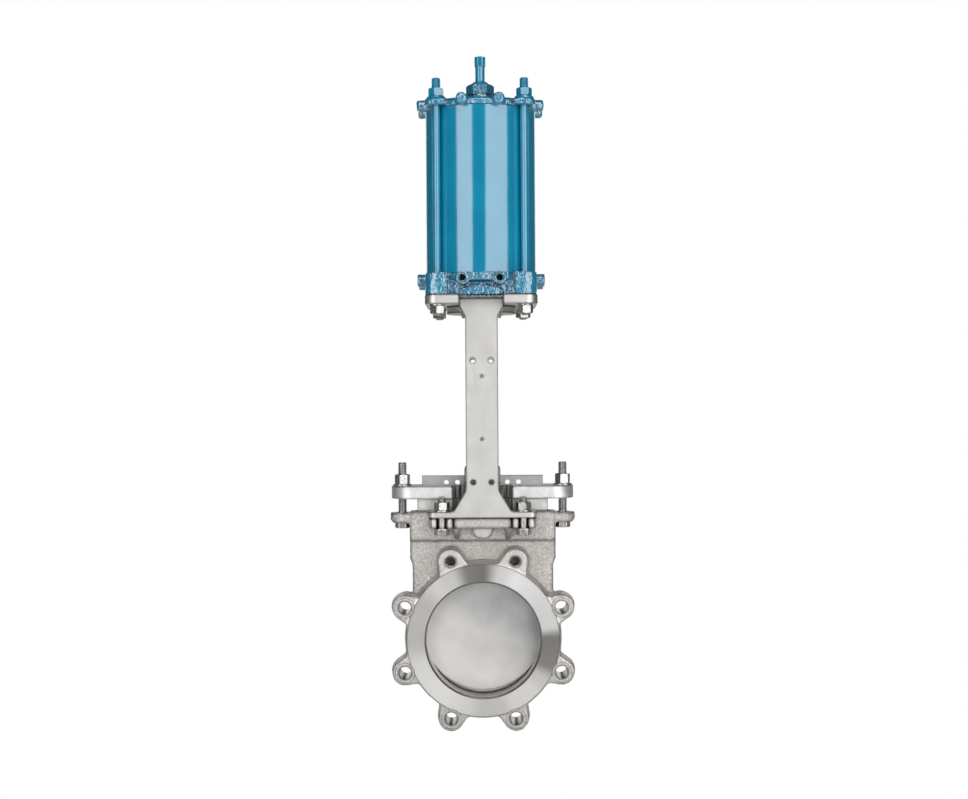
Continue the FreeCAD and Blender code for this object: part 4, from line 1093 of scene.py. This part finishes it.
def studs(made):
    """The bolts and tie rods, with their threads."""
    hex_bolts("gland_studs", "gland_bolts", EARS, EAR_Z[0], EAR_Z[1] + 2, 1.6, made)
    hex_bolts("yoke_studs", "yoke_bolts", LEDGES, LEDGE_Z[0] - YOKE_HEAD_GAP, LEDGE_Z[1] + 2, 1.2, made)
    tie_rods(made)


def thread_linings(made):
    """Threads of the tapped holes in the two lugs below the chest."""
    shapes = []
    for c in lug_centres():
        if is_tapped(c):
            for side in (-1, 1):
                mouth = side * LUG_FACE_Y
                start, end = mouth - side * 0.6, mouth - side * (TAPPED_DEPTH[side] - 1.5)
                shapes.append(sleeve_shape(THREAD_ROOT_R, TAPPED_R - 0.1, TAPPED_PITCH, start, end, c))
    piece("lug_threads", shapes, "valve", [made["bore_stainless"]])


def welds(made):
    """Beads that join the legs to their foot plates and to the top plate."""
    off = 0.4
    shapes = []
    for side in (-1, 1):
        y = STEM_Y + side * LEG_INNER - side * off
        for half, z, radius in ((51, FOOT_TOP_Z + off, 3.2), (36, TOP_PLATE_Z - off, 3.0)):
            shapes.append(bead_shape(((-half, y, z), (half, y, z)), radius, 3.0))
    piece("weld_beads", shapes, "valve", [made["plate_stainless"]])


# ---- studio ----


def camera():
    """In front of the valve, level with its middle, turned a touch about its own axis."""
    data = bpy.data.cameras.new("camera")
    cam = object_of("camera", data)
    data.lens = 57.16
    data.sensor_width = 36.0
    data.clip_end = 50
    cam.location = (0.0037, -2.735, 0.4232)
    roll = math.radians(-0.35)
    cam.rotation_euler = (Matrix.Rotation(math.pi / 2, 3, "X") @ Matrix.Rotation(roll, 3, "Z")).to_euler()
    scene.camera = cam


def white_for_camera(tree, shader, strength):
    """A shader that looks plain white to the camera but lights the valve with its own output."""
    white = tree.nodes.new("ShaderNodeEmission")
    white.inputs["Strength"].default_value = strength
    path = tree.nodes.new("ShaderNodeLightPath")
    mix = tree.nodes.new("ShaderNodeMixShader")
    tree.links.new(path.outputs["Is Camera Ray"], mix.inputs[0])
    tree.links.new(shader, mix.inputs[1])
    tree.links.new(white.outputs[0], mix.inputs[2])
    return mix.outputs[0]


def floor():
    """A plain pale floor just below the valve."""
    reach = 12
    mesh = bpy.data.meshes.new("floor")
    z = cad_bounds[0][2] - 0.002
    corners = [(x, y, z) for x, y in rectangle(-reach, reach, -reach, reach)]
    mesh.from_pydata(corners, [], [(0, 1, 2, 3)])
    ob = object_of("floor", mesh)
    mat = bpy.data.materials.new("floor")
    mat.use_nodes = True
    tree = mat.node_tree
    shader = tree.nodes["Principled BSDF"]
    shader.inputs["Base Color"].default_value = (0.9, 0.9, 0.9, 1)
    shader.inputs["Roughness"].default_value = 0.9
    shader.inputs["Emission Color"].default_value = (1, 1, 1, 1)
    shader.inputs["Emission Strength"].default_value = 0.12
    tree.links.new(white_for_camera(tree, shader.outputs[0], 1.0), tree.nodes["Material Output"].inputs[0])
    mesh.materials.append(mat)


def world():
    """A faint even light from all round, on a white ground."""
    w = bpy.data.worlds.new("studio")
    scene.world = w
    w.use_nodes = True
    tree = w.node_tree
    back = tree.nodes["Background"]
    back.inputs["Color"].default_value = (1, 1, 1, 1)
    back.inputs["Strength"].default_value = 0.055
    white = tree.nodes.new("ShaderNodeBackground")
    white.inputs["Color"].default_value = (1, 1, 1, 1)
    white.inputs["Strength"].default_value = 1.0
    path = tree.nodes.new("ShaderNodeLightPath")
    mix = tree.nodes.new("ShaderNodeMixShader")
    tree.links.new(path.outputs["Is Camera Ray"], mix.inputs[0])
    tree.links.new(back.outputs[0], mix.inputs[1])
    tree.links.new(white.outputs[0], mix.inputs[2])
    tree.links.new(mix.outputs[0], tree.nodes["World Output"].inputs[0])


def softbox(name, azimuth, distance, height, width, tall, power):
    """An area light aimed at the middle of the valve. Its azimuth is in degrees from the front."""
    data = bpy.data.lights.new(name, "AREA")
    data.shape = "RECTANGLE"
    data.size = width
    data.size_y = tall
    data.energy = power
    ob = object_of(name, data)
    ob.visible_camera = False
    turn = math.radians(azimuth)
    ob.location = (distance * math.sin(turn), -distance * math.cos(turn), height)
    aim = Vector((0, 0, 0.5)) - ob.location
    ob.rotation_euler = aim.to_track_quat("-Z", "Y").to_euler()


made = finishes()
dress_nodes(made)
body(made)
heads(made)
studs(made)
thread_linings(made)
welds(made)
camera()
floor()
world()
softbox("left", -33, 2.6, 0.75, 1.5, 2.2, 24)
softbox("right", 33, 2.6, 0.75, 2.2, 2.2, 34)
softbox("above", 0, 1.9, 2.9, 2.6, 1.2, 30)
softbox("rear_left", -163, 2.8, 0.9, 1.0, 2.0, 9)
softbox("rear_right", 163, 2.8, 0.9, 1.0, 2.0, 9)
